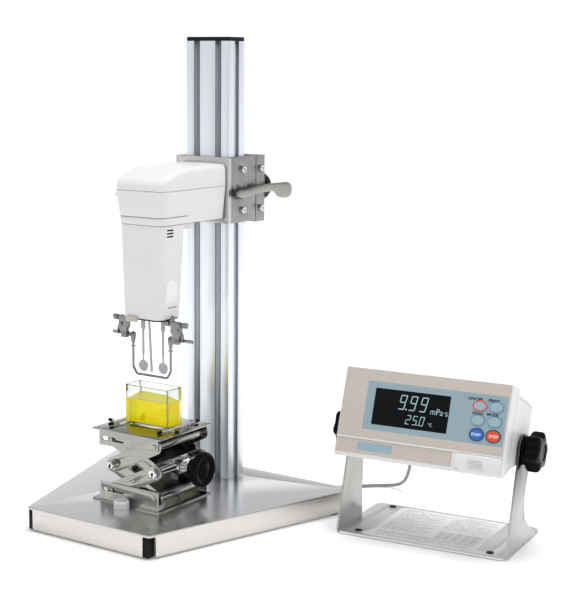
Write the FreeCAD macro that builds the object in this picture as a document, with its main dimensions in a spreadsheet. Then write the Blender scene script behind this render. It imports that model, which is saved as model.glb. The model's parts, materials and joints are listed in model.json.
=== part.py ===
import FreeCAD, Part
import math
import os
from FreeCAD import Vector, Placement, Rotation

# Vibration viscometer: stand with sensor head, lab jack with cup, and a tilting display unit.
# Millimetres, +Z up, floor at z = 0.  The stand is drawn in its own frame (x across the column's
# wide face, y towards the rear, front face of the column at y = 0) and then moved so that the
# origin is the centre of the footprint of the whole object.

doc = FreeCAD.newDocument("vibration_viscometer")
sheet = doc.addObject("Spreadsheet::Sheet", "Dimensions")
_row = [1]
_cells = {}


class Q:
    """A length with its value and the sheet expression that drives it."""

    def __init__(self, value, ex):
        self.value = float(value)
        self.ex = ex

    @staticmethod
    def of(x):
        return x if isinstance(x, Q) else Q(x, "%.6g" % float(x))

    def __add__(self, o):
        o = Q.of(o)
        return Q(self.value + o.value, "(%s + %s)" % (self.ex, o.ex))

    __radd__ = __add__

    def __sub__(self, o):
        o = Q.of(o)
        return Q(self.value - o.value, "(%s - %s)" % (self.ex, o.ex))

    def __rsub__(self, o):
        return Q.of(o) - self

    def __mul__(self, o):
        o = Q.of(o)
        return Q(self.value * o.value, "(%s * %s)" % (self.ex, o.ex))

    __rmul__ = __mul__

    def __truediv__(self, o):
        o = Q.of(o)
        return Q(self.value / o.value, "(%s / %s)" % (self.ex, o.ex))

    def __float__(self):
        return self.value


def cell(name, value):
    """Write one driving dimension to the sheet and return it."""
    if name in _cells:
        return _cells[name]
    r = _row[0]
    _row[0] += 1
    sheet.set("A%d" % r, name)
    sheet.set("B%d" % r, "%.6g" % float(value))
    sheet.setAlias("B%d" % r, name)
    _cells[name] = Q(value, "Dimensions.%s" % name)
    return _cells[name]


# ---- driving dimensions -------------------------------------------------------------------
shift_x = cell("shift_x", -117.876)
shift_y = cell("shift_y", 51.001)
col_w = cell("col_width", 60.0)
col_d = cell("col_depth", 30.0)
base_top = cell("base_top", 26.5)
col_top = cell("col_top", 531.5)
cap_thick = cell("cap_thick", 4.5)
base_sheet = cell("base_sheet", 1.5)
base_front_y = cell("base_front_y", -214.0)
base_rear_y = cell("base_rear_y", 53.0)
base_front_half = cell("base_front_half", 86.0)
base_rear_half = cell("base_rear_half", 171.0)
base_under = cell("base_under", 2.5)
car_half = cell("carriage_half", 37.0)
car_low = cell("carriage_low", 328.0)
car_high = cell("carriage_high", 402.6)
head_wall = cell("head_wall", 2.2)
jack_sheet = cell("jack_sheet", 1.5)
jack_half = cell("jack_half", 48.5)
jack_front = cell("jack_front", -148.0)
jack_rear = cell("jack_rear", -57.0)
arm_len = cell("arm_length", 66.417)
arm_wide = cell("arm_wide", 16.6)
pin_r = cell("pin_radius", 2.0)
axle_r = cell("axle_radius", 4.0)
screw_r = cell("screw_radius", 3.0)
run_gap = cell("running_gap", 0.05)
cup_w = cell("cup_width", 61.5)
cup_d = cell("cup_depth", 27.0)
cup_h = cell("cup_height", 45.0)
cup_wall = cell("cup_wall", 1.75)
disp_yaw = cell("display_yaw", 6.487)
disp_tilt = cell("display_tilt", 19.14)
disp_half = cell("display_half", 94.0)
disp_wall = cell("display_wall", 2.5)
brk_half = cell("bracket_half", 97.5)
brk_sheet = cell("bracket_sheet", 2.0)
brk_deep = cell("bracket_deep", 116.6)
key_r = cell("key_radius", 7.3)
cable_r = cell("cable_radius", 2.0)

OX, OY = float(shift_x), float(shift_y)
G = Placement(Vector(OX, OY, 0), Rotation())
BT = float(base_top)
ROTX90 = Rotation(Vector(1, 0, 0), 90)
AX = {"x": Rotation(Vector(0, 1, 0), 90), "y": Rotation(Vector(1, 0, 0), -90), "z": Rotation()}

nodes = []


# ---- helpers: sketched bodies -----------------------------------------------------------------
def bind(obj, prop, q):
    if isinstance(q, Q):
        obj.setExpression(prop, q.ex)
    else:
        setattr(obj, prop, q)


def origin_plane(body, role):
    for f in body.Origin.OriginFeatures:
        if getattr(f, "Role", "") == role:
            return f
    raise RuntimeError("no plane " + role)


def new_sketch(body, name, role="XY_Plane", off=0.0):
    sk = body.newObject("Sketcher::SketchObject", name)
    sk.AttachmentSupport = [(origin_plane(body, role), "")]
    sk.MapMode = "FlatFace"
    if isinstance(off, tuple):
        sk.AttachmentOffset = Placement(Vector(*off), Rotation())
    else:
        sk.AttachmentOffset = Placement(Vector(0, 0, off), Rotation())
    return sk


def sketch_rect(sk, w, h, cx=0.0, cy=0.0):
    import Sketcher

    a, b = float(w) / 2, float(h) / 2
    g = len(sk.Geometry)
    p = [Vector(cx - a, cy - b, 0), Vector(cx + a, cy - b, 0), Vector(cx + a, cy + b, 0), Vector(cx - a, cy + b, 0)]
    for i in range(4):
        sk.addGeometry(Part.LineSegment(p[i], p[(i + 1) % 4]), False)
    for i in range(4):
        sk.addConstraint(Sketcher.Constraint("Coincident", g + i, 2, g + (i + 1) % 4, 1))
    sk.addConstraint(Sketcher.Constraint("Horizontal", g))
    sk.addConstraint(Sketcher.Constraint("Horizontal", g + 2))
    sk.addConstraint(Sketcher.Constraint("Vertical", g + 1))
    sk.addConstraint(Sketcher.Constraint("Vertical", g + 3))
    if cx == 0.0 and cy == 0.0:
        sk.addConstraint(Sketcher.Constraint("Symmetric", g, 1, g + 2, 1, -1, 1))
    for i, (edge, q) in enumerate(((g, w), (g + 1, h))):
        k = sk.addConstraint(Sketcher.Constraint("Distance", edge, float(q)))
        nm = "d%d_%d" % (g, i)
        sk.renameConstraint(k, nm)
        if isinstance(q, Q):
            sk.setExpression("Constraints." + nm, q.ex)


def sketch_circle(sk, r, cx=0.0, cy=0.0):
    import Sketcher

    g = len(sk.Geometry)
    sk.addGeometry(Part.Circle(Vector(cx, cy, 0), Vector(0, 0, 1), float(r)), False)
    k = sk.addConstraint(Sketcher.Constraint("Radius", g, float(r)))
    sk.renameConstraint(k, "r%d" % g)
    if isinstance(r, Q):
        sk.setExpression("Constraints.r%d" % g, r.ex)


def sketch_poly(sk, pts):
    import Sketcher

    g = len(sk.Geometry)
    n = len(pts)
    v = [Vector(float(x), float(y), 0) for x, y in pts]
    for i in range(n):
        sk.addGeometry(Part.LineSegment(v[i], v[(i + 1) % n]), False)
    for i in range(n):
        sk.addConstraint(Sketcher.Constraint("Coincident", g + i, 2, g + (i + 1) % n, 1))


def new_body(label):
    b = doc.addObject("PartDesign::Body", label)
    b.Label = label
    return b


def pad(body, sk, length, reverse=False):
    f = body.newObject("PartDesign::Pad", body.Name + "_pad")
    f.Profile = sk
    bind(f, "Length", length)
    f.Reversed = reverse
    sk.Visibility = False
    body.Tip = f
    return f


def pocket(body, sk, through=True, depth=None, reverse=False):
    doc.recompute()
    before = body.Shape.Volume
    f = body.newObject("PartDesign::Pocket", body.Name + "_pocket")
    f.Profile = sk
    if through:
        f.Type = 1
        f.Midplane = True
    else:
        bind(f, "Length", depth)
        f.Reversed = reverse
    body.Tip = f
    doc.recompute()
    if body.Shape.Volume > before - 1e-3:
        raise RuntimeError("pocket cut nothing in " + body.Label)
    return f


def done(obj, label, at=(0, 0, 0), rot=Rotation(), base=G):
    obj.Label = label
    obj.Placement = base.multiply(Placement(Vector(*[float(c) for c in at]), rot))
    nodes.append(obj)
    return obj


def plate_body(label, w, h, t, at, rot=Rotation(), holes=(), hole_r=None, round_r=None, base=G):
    """A rectangular plate: sketch, pad, round holes cut through, corners rounded."""
    b = new_body(label)
    sk = new_sketch(b, label + "_outline")
    sketch_rect(sk, w, h)
    pad(b, sk, t)
    if holes:
        hs = new_sketch(b, label + "_holes")
        for i, hcell in enumerate(holes):
            hx, hy = hcell[0], hcell[1]
            sketch_circle(hs, hcell[2] if len(hcell) > 2 else hole_r, hx, hy)
        pocket(b, hs)
    if round_r is not None:
        doc.recompute()
        tip = b.Tip
        fl = b.newObject("PartDesign::Fillet", label + "_corners")
        names = []
        for i, e in enumerate(tip.Shape.Edges):
            if len(e.Vertexes) == 2:
                d = e.Vertexes[1].Point.sub(e.Vertexes[0].Point)
                c = e.CenterOfMass
                if (abs(d.x) < 1e-6 and abs(d.y) < 1e-6 and d.Length > 1e-6
                        and abs(abs(c.x) - float(w) / 2) < 1e-4 and abs(abs(c.y) - float(h) / 2) < 1e-4):
                    names.append("Edge%d" % (i + 1))
        fl.Base = (tip, names)
        bind(fl, "Radius", round_r)
        b.Tip = fl
    return done(b, label, at, rot, base)


def disc_body(label, r, t, at, rot=Rotation(), bore=None, base=G):
    b = new_body(label)
    sk = new_sketch(b, label + "_outline")
    sketch_circle(sk, r)
    if bore is not None:
        sketch_circle(sk, bore)
    pad(b, sk, t)
    return done(b, label, at, rot, base)


def turned_body(label, profile, at, rot=Rotation(), base=G):
    """A turned piece: half profile (radius, height) revolved about the vertical axis."""
    b = new_body(label)
    sk = new_sketch(b, label + "_profile", "XZ_Plane")
    sketch_poly(sk, profile)
    f = b.newObject("PartDesign::Revolution", label + "_turn")
    f.Profile = sk
    f.ReferenceAxis = (sk, ["V_Axis"])
    f.Angle = 360.0
    b.Tip = f
    return done(b, label, at, rot, base)


# ---- helpers: shapes --------------------------------------------------------------------------
def bx(x0, y0, z0, x1, y1, z1):
    x0, y0, z0, x1, y1, z1 = [float(v) for v in (x0, y0, z0, x1, y1, z1)]
    return Part.makeBox(x1 - x0, y1 - y0, z1 - z0, Vector(x0, y0, z0))


def cyl(p, axis, r, length):
    d = {"x": Vector(1, 0, 0), "y": Vector(0, 1, 0), "z": Vector(0, 0, 1)}[axis]
    return Part.makeCylinder(float(r), float(length), Vector(*[float(c) for c in p]), d)


def prism(pts, axis, a, b):
    """A closed polygon given in the two other axes, extruded along one axis from a to b."""
    a, b = float(a), float(b)
    if axis == "z":
        v = [Vector(float(p), float(q), a) for p, q in pts]
        d = Vector(0, 0, b - a)
    elif axis == "x":
        v = [Vector(a, float(p), float(q)) for p, q in pts]
        d = Vector(b - a, 0, 0)
    else:
        v = [Vector(float(p), a, float(q)) for p, q in pts]
        d = Vector(0, b - a, 0)
    w = Part.makePolygon(v + [v[0]])
    return Part.Face(w).extrude(d)


def fuse(shapes):
    s = shapes[0]
    if len(shapes) > 1:
        s = s.multiFuse(shapes[1:])
    return s.removeSplitter()


def group(shapes):
    return Part.makeCompound(shapes)


def feature(label, shape, base=G, at=(0, 0, 0), rot=Rotation()):
    f = doc.addObject("Part::Feature", label)
    f.Shape = shape
    return done(f, label, at, rot, base)


def round_edges(shape, r, test):
    ed = [e for e in shape.Edges if test(e)]
    if not ed:
        raise RuntimeError("no edges to round")
    return shape.makeFillet(float(r), ed)


def is_dir(e, axis):
    if len(e.Vertexes) != 2:
        return False
    d = e.Vertexes[1].Point.sub(e.Vertexes[0].Point)
    L = d.Length
    if L < 1e-6 or e.Curve.TypeId != "Part::GeomLine":
        return False
    return abs(abs({"x": d.x, "y": d.y, "z": d.z}[axis]) - L) < 1e-6


def rrect_wire(cx, cy, hx, hy, r, z):
    """A rounded rectangle at height z: centre, half sizes, corner radius."""
    e = []
    x0, x1, y0, y1 = cx - hx, cx + hx, cy - hy, cy + hy
    k = r * (1 - math.sqrt(0.5))
    V = lambda x, y: Vector(x, y, z)
    e.append(Part.LineSegment(V(x0 + r, y0), V(x1 - r, y0)))
    e.append(Part.Arc(V(x1 - r, y0), V(x1 - k, y0 + k), V(x1, y0 + r)))
    e.append(Part.LineSegment(V(x1, y0 + r), V(x1, y1 - r)))
    e.append(Part.Arc(V(x1, y1 - r), V(x1 - k, y1 - k), V(x1 - r, y1)))
    e.append(Part.LineSegment(V(x1 - r, y1), V(x0 + r, y1)))
    e.append(Part.Arc(V(x0 + r, y1), V(x0 + k, y1 - k), V(x0, y1 - r)))
    e.append(Part.LineSegment(V(x0, y1 - r), V(x0, y0 + r)))
    e.append(Part.Arc(V(x0, y0 + r), V(x0 + k, y0 + k), V(x0 + r, y0)))
    return Part.Wire([c.toShape() for c in e])


def loft(wires):
    return Part.makeLoft(wires, True, True)


def route_tube(points, r, name, start_dir=None):
    """A tube along straight runs joined by tangent arcs; prints its radii and checks its volume."""
    P = [Vector(*p) for p in points]
    edges, cur, length, radii = [], P[0], 0.0, []
    for i in range(1, len(P) - 1):
        a, b, c = P[i - 1], P[i], P[i + 1]
        u = b.sub(a)
        w = c.sub(b)
        lu, lw = u.Length, w.Length
        u.normalize()
        w.normalize()
        turn = math.acos(max(-1, min(1, u.dot(w))))
        cut = 0.45 * min(lu, lw)
        R = cut / math.tan(turn / 2)
        radii.append(round(R, 1))
        s = b.sub(u * cut)
        e = b.add(w * cut)
        bis = w.sub(u)
        bis.normalize()
        centre = b.add(bis * (R / math.cos(turn / 2)))
        mid = centre.sub(bis * R)
        edges.append(Part.LineSegment(cur, s).toShape())
        edges.append(Part.Arc(s, mid, e).toShape())
        length += s.sub(cur).Length + R * turn
        cur = e
    edges.append(Part.LineSegment(cur, P[-1]).toShape())
    length += P[-1].sub(cur).Length
    wire = Part.Wire(edges)
    d0 = P[1].sub(P[0])
    d0.normalize()
    prof = Part.Wire([Part.Circle(P[0], d0, r).toShape()])
    s = wire.makePipeShell([prof], True, False)
    want = math.pi * r * r * length
    print("%s: length %.1f mm, radii %s, volume ratio %.4f" % (name, length, radii, s.Volume / want))
    if abs(s.Volume / want - 1) > 0.02 or not s.isValid():
        raise RuntimeError("bad tube " + name)
    return s


# ================================ STAND =========================================================
t = float(base_sheet)
F0, R0 = float(base_front_y), float(base_rear_y)
hf, hr = float(base_front_half), float(base_rear_half)
slope = (hr - hf) / (R0 - F0)                      # outward run of each side per millimetre of depth
nrm = math.sqrt(1 + slope * slope)


def outline(inset):
    f, b = F0 + inset, R0 - inset
    a = hf + slope * (f - F0) - inset * nrm
    c = hf + slope * (b - F0) - inset * nrm
    return [(-a, f), (a, f), (c, b), (-c, b)]


# Base: one bent sheet. Top plate with four folded rims; the rims stop short of each corner.
zb = float(base_under)
outer = prism(outline(0), "z", zb, BT)
vert = [e for e in outer.Edges if is_dir(e, "z")]
outer = outer.makeFillet(5.0, vert)
top_edges = [e for e in outer.Edges if abs(e.BoundBox.ZMin - BT) < 1e-6 and abs(e.BoundBox.ZMax - BT) < 1e-6]
outer = outer.makeFillet(1.2, top_edges)
inner = prism(outline(t), "z", zb - 1, BT - t)
base_shape = outer.cut(inner)
gap = 7.0
for sx in (-1, 1):
    base_shape = base_shape.cut(bx(min(sx * (hf - 8.7), sx * (hf + 20)), F0 - 5, zb - 1,
                                   max(sx * (hf - 8.7), sx * (hf + 20)), F0 + 8.7, BT - 2.2))
    base_shape = base_shape.cut(bx(min(sx * (hr - gap - 4), sx * (hr + 20)), R0 - gap, zb - 1,
                                   max(sx * (hr - gap - 4), sx * (hr + 20)), R0 + 5, BT - 3.5))
for bxx, byy in ((-15, 15), (15, 15)):
    base_shape = base_shape.cut(cyl((bxx, byy, BT - 5), "z", 3.4, 10))
feature("base_plate", base_shape)

FEET = {"foot_front": (0.0, -199.0), "foot_left": (-150.0, 33.0), "foot_right": (150.0, 33.0)}
hw = []
for sx in (-1, 1):
    a, b = sorted((sx * (hf - 14), sx * (hf - 1.7)))
    hw.append(bx(a, F0 + 1.6, 1.6, b, F0 + 12, BT - t))
    a, b = sorted((sx * (hr - 18), sx * (hr - 5.5)))
    hw.append(bx(a, R0 - 12, 6.6, b, R0 - 2.2, BT - t))
for fx, fy in FEET.values():
    boss = cyl((fx, fy, 9.0), "z", 8.0, BT - t - 9.0)
    hw.append(boss.cut(cyl((fx, fy, 8.0), "z", 4.0 + float(run_gap), 30)))
for sx in (-1, 1):
    hw.append(fuse([cyl((sx * 15, 15, BT - t - 6), "z", 5.0, 6.0), cyl((sx * 15, 15, BT - t - 2), "z", 3.3, 24)]))
feature("base_hardware", group(hw))

foot_disc = cell("foot_disc_radius", 12.0)
for nm, (fx, fy) in FEET.items():
    turned_body(nm, [(0, 0), (foot_disc - 1.0, 0), (foot_disc, 1.0), (foot_disc, 4.0), (9.0, 5.5), (5.5, 6.2), (4.0, 6.2),
                     (4.0, 21.0), (0, 21.0)], (fx, fy, 0))

# Column: slotted aluminium extrusion, one slot per 30 mm module on each side.
W2, D2 = float(col_w) / 2, float(col_d) / 2


def slot_pts(cx, cy, dx, dy):
    """T-slot outline, entering at the face centre (cx, cy) with inward direction (dx, dy)."""
    prof = [(4.1, 0.0), (4.1, 2.2), (7.6, 2.2), (7.6, 5.0), (3.6, 9.0), (-3.6, 9.0), (-7.6, 5.0), (-7.6, 2.2),
            (-4.1, 2.2), (-4.1, 0.0)]
    tx, ty = -dy, dx
    return [(cx + tx * s + dx * d, cy + ty * s + dy * d) for s, d in prof]


loop = [(-W2, -D2)]
loop += slot_pts(-15, -D2, 0, 1) + slot_pts(15, -D2, 0, 1)
loop += [(W2, -D2)] + slot_pts(W2, 0, -1, 0) + [(W2, D2)]
loop += slot_pts(15, D2, 0, -1) + slot_pts(-15, D2, 0, -1)
loop += [(-W2, D2)] + slot_pts(-W2, 0, 1, 0)
col = new_body("column")
sk = new_sketch(col, "column_profile")
sketch_poly(sk, loop)
sketch_circle(sk, cell("core_radius", 3.4), -15, 0)
sketch_circle(sk, cell("core_radius", 3.4), 15, 0)
sketch_rect(sk, cell("core_slot_w", 7.0), cell("core_slot_d", 17.0), 0.0, 0.001)
pad(col, sk, col_top - base_top)
done(col, "column", (0, 15, BT))

plate_body("column_cap", col_w, col_d, cap_thick, (0, 15, float(col_top)), round_r=cell("cap_corner", 1.5))

# Round spirit level in a white housing, standing on the base in front of the jack.
turned_body("spirit_level", [(0, 0), (8.9, 0), (9.2, 0.5), (9.2, 7.2), (8.2, 8.6), (6.8, 8.9), (0, 8.9)], (1.5, -157.7, BT))

# ================================ CARRIAGE ======================================================
zl, zh = float(car_low), float(car_high)
zm = (zl + zh) / 2
ch = float(car_half)
plate_body("carriage_front_plate", car_half * 2, car_high - car_low, cell("front_plate_thick", 6.0),
           (0, -4.4, zm), ROTX90, holes=[(sx * 29, sz * 29) for sx in (-1, 1) for sz in (-1, 1)],
           hole_r=cell("plate_hole", 2.25), round_r=cell("plate_corner", 1.0))
side_in = 33.0
sides = []
for sx in (-1, 1):
    a, b = sorted((sx * side_in, sx * ch))
    s = bx(a, -4.4, zl, b, 43.6, zh)
    for y, z in ((16, 388), (16, 341.7)):
        s = s.cut(cyl((a - 1, y, z), "x", 2.3, 8))
    s = s.cut(cyl((a - 1, 12.4, 360), "x", 4.05, 8))
    s = s.cut(cyl((a - 1, -1.8, 364.6), "x", 1.4, 8))
    sides.append(s)
feature("carriage_side_plates", group(sides))
rear = bx(-ch, 43.6, zl - 2, ch, 61.0, zh)
rear = rear.cut(cyl((15, 40, 364), "y", 4.05, 30))
for sx in (-1, 1):
    for z in (387.5, 341.5):
        a = -ch - 1 if sx < 0 else 27.0
        rear = rear.cut(cyl((a, 52.0, z), "x", 2.3, 11))
plug = fuse([cyl((-22, 61.0, 350), "y", 8.5, 5), cyl((-22, 66.0, 350), "y", 7.0, 16),
             Part.makeCone(5.0, 2.9, 12, Vector(-22, 82, 350), Vector(0, 1, 0))])
feature("carriage_rear_block", group([rear, plug]))
pads = []
for sx in (-1, 1):
    a, b = sorted((sx * 20.5, sx * 29.0))
    pads.append(bx(a, -4.4, 333, b, -0.08, 398))
    pads.append(bx(a, 30.08, 333, b, 43.6, 398))
    a, b = sorted((sx * 30.08, sx * side_in))
    pads.append(bx(a, 2.5, 333, b, 9.5, 398))
    pads.append(bx(a, 20.5, 333, b, 27.5, 398))
pads.append(bx(9, 30.3, 352, 19.5, 36.0, 376))
feature("carriage_pads", group(pads))
scr = []
for sx in (-1, 1):
    for y, z, deep in ((16, 388, 4.0), (16, 341.7, 4.0), (52.0, 387.5, 8.0), (52.0, 341.5, 8.0)):
        x0 = sx * ch
        head = cyl((x0 if sx > 0 else x0 - 4.0, y, z), "x", 3.9, 4.0)
        sh = cyl((x0 - deep + 0.1 if sx > 0 else x0 - 0.5, y, z), "x", 2.2, deep + 0.4)
        h = fuse([head, sh])
        h = h.cut(cyl((x0 + 1.8 if sx > 0 else x0 - 4.1, y, z), "x", 1.9, 2.3))
        scr.append(h)
for sx in (-1, 1):
    for sz in (-1, 1):
        scr.append(cyl((sx * 29, -10.2, zm + sz * 29), "y", 2.2, 5.8))
feature("carriage_screws", group(scr))

# Clamp lever: threaded hub through the right side plate, arm along the side, paddle at the end.
LVY, LVZ = 12.4, 360.0
hub = fuse([cyl((ch + 0.2, LVY, LVZ), "x", 5.5, 8.0), cyl((33.3, LVY, LVZ), "x", 4.0, 6.0)])
arm = prism([(LVY - 16.2, LVZ - 2.4), (LVY - 12, LVZ - 3.0), (LVY, LVZ - 2.8), (LVY + 14, LVZ - 1.1), (LVY + 28, LVZ + 0.2),
             (LVY + 42, LVZ + 0.7), (LVY + 64, LVZ + 0.2), (LVY + 64, LVZ + 9.6), (LVY + 42, LVZ + 9.4), (LVY + 28, LVZ + 8.9),
             (LVY + 14, LVZ + 7.4), (LVY, LVZ + 5.6), (LVY - 12, LVZ + 5.0), (LVY - 16.2, LVZ + 4.4)], "x", 42.0, 48.5)
pad_end = prism([(LVY + 60, LVZ + 0.3), (LVY + 64, LVZ - 3.0), (LVY + 67, LVZ - 8.0), (LVY + 74, LVZ - 9.6), (LVY + 83, LVZ - 9.3), (LVY + 88, LVZ - 5.5),
                 (LVY + 90, LVZ + 0.5), (LVY + 88.5, LVZ + 6.0), (LVY + 84, LVZ + 9.7), (LVY + 74, LVZ + 9.9), (LVY + 60, LVZ + 9.5)],
                "x", 41.5, 49.5)
lever = fuse([hub, arm, pad_end])
feature("clamp_lever", lever)

KX, KZ = 15.0, 364.0
knob = fuse([cyl((KX, 61.3, KZ), "y", 9.0, 5.0), cyl((KX, 66.0, KZ), "y", 16.5, 19.0), cyl((KX, 36.6, KZ), "y", 4.0, 26.0)])
knob = round_edges(knob, 1.6, lambda e: e.Curve.TypeId == "Part::GeomCircle" and abs(e.Curve.Radius - 16.5) < 1e-3)
feature("brake_knob", knob)

# ================================ SENSOR HEAD ===================================================
HW = float(head_wall)
HR = -10.4                                         # rear face of the head on the front plate


def head_section(z, half, front, r=10.5, inset=0.0):
    yc = (HR + front) / 2
    return rrect_wire(0, yc, half - inset, (HR - front) / 2 - inset, max(1.0, r - inset), z)


SEAM, LOW = 371.0, 333.5
body_out = loft([head_section(LOW, 31.1, -122.4), head_section(SEAM, 35.0, -124.9)])
body_in = loft([head_section(LOW - 0.01, 31.1, -122.4, inset=HW), head_section(SEAM + 0.01, 35.0, -124.9, inset=HW)])
shell = body_out.cut(body_in)
floor_part = body_out.common(bx(-40, -130, LOW, 40, 0, LOW + 2.2))
floor_part = floor_part.cut(bx(-26.5, -117.5, LOW - 1, 26.5, -80.5, LOW + 5))
rib = bx(-19, -76.5, 325.5, 19, -49, LOW + 1).cut(bx(-17, -74.5, 327.5, 17, -51, LOW + 0.2))
body_shell = fuse([shell, floor_part, rib])
feature("head_body_shell", body_shell)

top_out = loft([head_section(SEAM, 35.0, -124.9), head_section(396.0, 34.1, -123.1)])
nose = prism([(-140, 381.0), (-122.5, 381.2), (-112, 387.0), (-98, 392.0), (-82, 395.2), (-66, 396.0), (-66, 410), (-140, 410)], "x", -50, 50)
top_out = top_out.cut(nose)
long_top = [e for e in top_out.Edges if e.BoundBox.ZMin > 380.0 and e.BoundBox.YMax < HR + 0.5 and abs(e.CenterOfMass.x) > 25
            and e.BoundBox.YLength > 3.0 and e.BoundBox.ZMax - e.BoundBox.ZMin < 12]
try:
    rounded = top_out.makeFillet(4.0, long_top)
    if rounded.isValid() and rounded.Volume > 0.9 * top_out.Volume:
        top_out = rounded
except Exception:
    pass
top_in = loft([head_section(SEAM - 0.01, 35.0, -124.9, inset=HW), head_section(392.5, 34.3, -123.3, inset=HW)])
nose_in = prism([(-140, 377.5), (-122.5, 377.8), (-112, 383.4), (-98, 388.4), (-82, 391.6), (-66, 392.4), (-66, 410), (-140, 410)], "x", -50, 50)
top_cover = top_out.cut(top_in.cut(nose_in))
feature("head_top_cover", top_cover)


def low_section(z, inset=0.0):
    k = (z - 231.0) / (333.5 - 231.0)
    half = 26.7 + (30.3 - 26.7) * k
    front = -121.3
    rearm = -81.4 + (-77.0 + 81.4) * k
    return rrect_wire(0, (front + rearm) / 2, half - inset, (rearm - front) / 2 - inset, 8.5 - inset, z)


low_out = loft([low_section(231.0), low_section(LOW)])
low_in = loft([low_section(230.99, HW), low_section(LOW + 0.01, HW)])
low_shell = low_out.cut(low_in)
for z in (328.8, 325.4, 322.0):
    low_shell = low_shell.cut(bx(20, -107, z - 0.7, 35, -99, z + 0.7))
feature("head_lower_shell", low_shell)

bp = loft([low_section(229.4, 1.2), low_section(231.0, 1.2)])
for sx in (-1, 1):
    bp = bp.cut(bx(sx * 14 - 4.0, -102.5, 228, sx * 14 + 4.0, -96.5, 232))
bp = bp.cut(Part.makeCylinder(1.75, 12, Vector(0, -106.5, 224), Vector(0, 0, 1)))
feature("head_bottom_plate", bp)

# Drive: die-cast frame carrying two coils, above the two vibrating plates.
frame_parts = [bx(-20, -112, 292, 20, -92, 318)]
frame_parts[0] = frame_parts[0].cut(bx(-6, -113, 290, 6, -91, 320))
frame_parts[0] = fuse([frame_parts[0], bx(-20, -112, 312, 20, -92, 318)])
frame_parts.append(cyl((-14, -102, 276), "z", 6.0, 16))
frame_parts.append(cyl((14, -102, 276), "z", 6.0, 16))
frame_parts.append(bx(-22, -114, 318, 22, -90, 322))
feature("drive_unit", group(frame_parts))
plate_body("head_circuit_board", cell("pcb_w", 50.0), cell("pcb_d", 78.0), cell("pcb_t", 1.6), (0, -66, 352),
           holes=[(sx * 21, sy * 35) for sx in (-1, 1) for sy in (-1, 1)], hole_r=cell("pcb_hole", 1.6))

# Two sensor plates on thin strips, side by side, hung from leaf springs inside the head.
for sx, nm in ((-1, "sensor_plate_left"), (1, "sensor_plate_right")):
    x = sx * 14.0
    y0, y1 = -99.8, -99.3
    disc = cyl((x, y0, 174.0), "y", cell("sensor_radius", 6.5), y1 - y0)
    neck = bx(x - 1.1, y0, 179.0, x + 1.1, y1, 188.0)
    strip = bx(x - 1.6, y0, 187.0, x + 1.6, y1, 217.0)
    hold = bx(x - 2.6, -100.4, 215.5, x + 2.6, -98.7, 246.0)
    spring = bx(x - 3.5, -99.9, 244.0, x + 3.5, -99.4, 268.0)
    block = bx(x - 5.0, -104.5, 262.0, x + 5.0, -95.5, 272.0)
    feature(nm, fuse([disc, neck, strip, hold, spring, block]))

# Temperature probe: thin closed tube that leans a little between the plates.
probe = Part.makeCylinder(1.35, 70.0, Vector(0, 0, 0), Vector(0, 0, 1))
tip = Part.makeSphere(1.35, Vector(0, 0, 0))
probe = probe.fuse(tip).removeSplitter()
feature("temperature_probe", probe, at=(0, -102.4, 169.85), rot=Rotation(Vector(1, 0, 0), 3.8))

# Protector holders: one metal block each side under the head, with a knurled screw.
hold = []
for sx in (-1, 1):
    blk = prism([(sx * 20, 229.4), (sx * 42.0, 229.4), (sx * 43.5, 226), (sx * 43.5, 214.5), (sx * 40.5, 210.0), (sx * 40.5, 204.5),
                 (sx * 32.5, 204.5), (sx * 32.5, 213.5), (sx * 30.0, 217.5), (sx * 30.0, 224.0), (sx * 20, 224.0)], "y", -107.0, -102.2)
    blk = blk.cut(cyl((sx * 36.5 - 0.0, -108, 208.5), "y", 1.55, 12))
    screw = fuse([cyl((sx * 43.0 if sx > 0 else sx * 43.0 - 3.5, -104.6, 226.4), "x", 1.6, 3.5),
                  cyl((sx * 46.0 if sx > 0 else sx * 46.0 - 5.0, -104.6, 226.4), "x", 3.2, 5.0)])
    top_nut = cyl((sx * 31.5, -104.6, 229.2), "z", 2.3, 5.7)
    hold += [blk, screw, top_nut]
feature("protector_holders", group(hold))

# Protector: one bent wire round the plates with clamping sleeves at its two upper ends.
wr = 1.35
wp = [(-26.5, 212.0), (-26.5, 172.0), (-21.5, 164.3), (21.5, 164.3), (26.5, 172.0), (26.5, 212.0)]
edges = []
cur = Vector(wp[0][0], -102, wp[0][1])
for i in range(1, len(wp) - 1):
    a, b, c = [Vector(p[0], -102, p[1]) for p in (wp[i - 1], wp[i], wp[i + 1])]
    u = b.sub(a); u.normalize()
    w = c.sub(b); w.normalize()
    turn = math.acos(u.dot(w))
    R = 3.2
    cutl = R * math.tan(turn / 2)
    s, e = b.sub(u * cutl), b.add(w * cutl)
    bis = w.sub(u); bis.normalize()
    cen = b.add(bis * (R / math.cos(turn / 2)))
    edges += [Part.LineSegment(cur, s).toShape(), Part.Arc(s, cen.sub(bis * R), e).toShape()]
    cur = e
edges.append(Part.LineSegment(cur, Vector(wp[-1][0], -102, wp[-1][1])).toShape())
wire = Part.Wire(edges)
prof = Part.Wire([Part.Circle(Vector(-26.5, -102, 212), Vector(0, 0, 1), wr).toShape()])
guard = wire.makePipeShell([prof], True, False)
parts_g = [guard]
for sx in (-1, 1):
    parts_g.append(Part.makeCone(1.5, 3.1, 8.0, Vector(sx * 26.5, -102, 198.5), Vector(0, 0, 1)))
    parts_g.append(cyl((sx * 26.5, -102, 206.4), "z", 3.1, 4.2))
    parts_g.append(cyl((sx * 26.5 - 3.2, -102, 195.4), "x", 0.8, 6.4))
    a, b = sorted((sx * 26.5, sx * 32.4))
    parts_g.append(bx(a, -104.0, 206.0, b, -100.0, 210.2))
feature("protector", fuse(parts_g))

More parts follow.
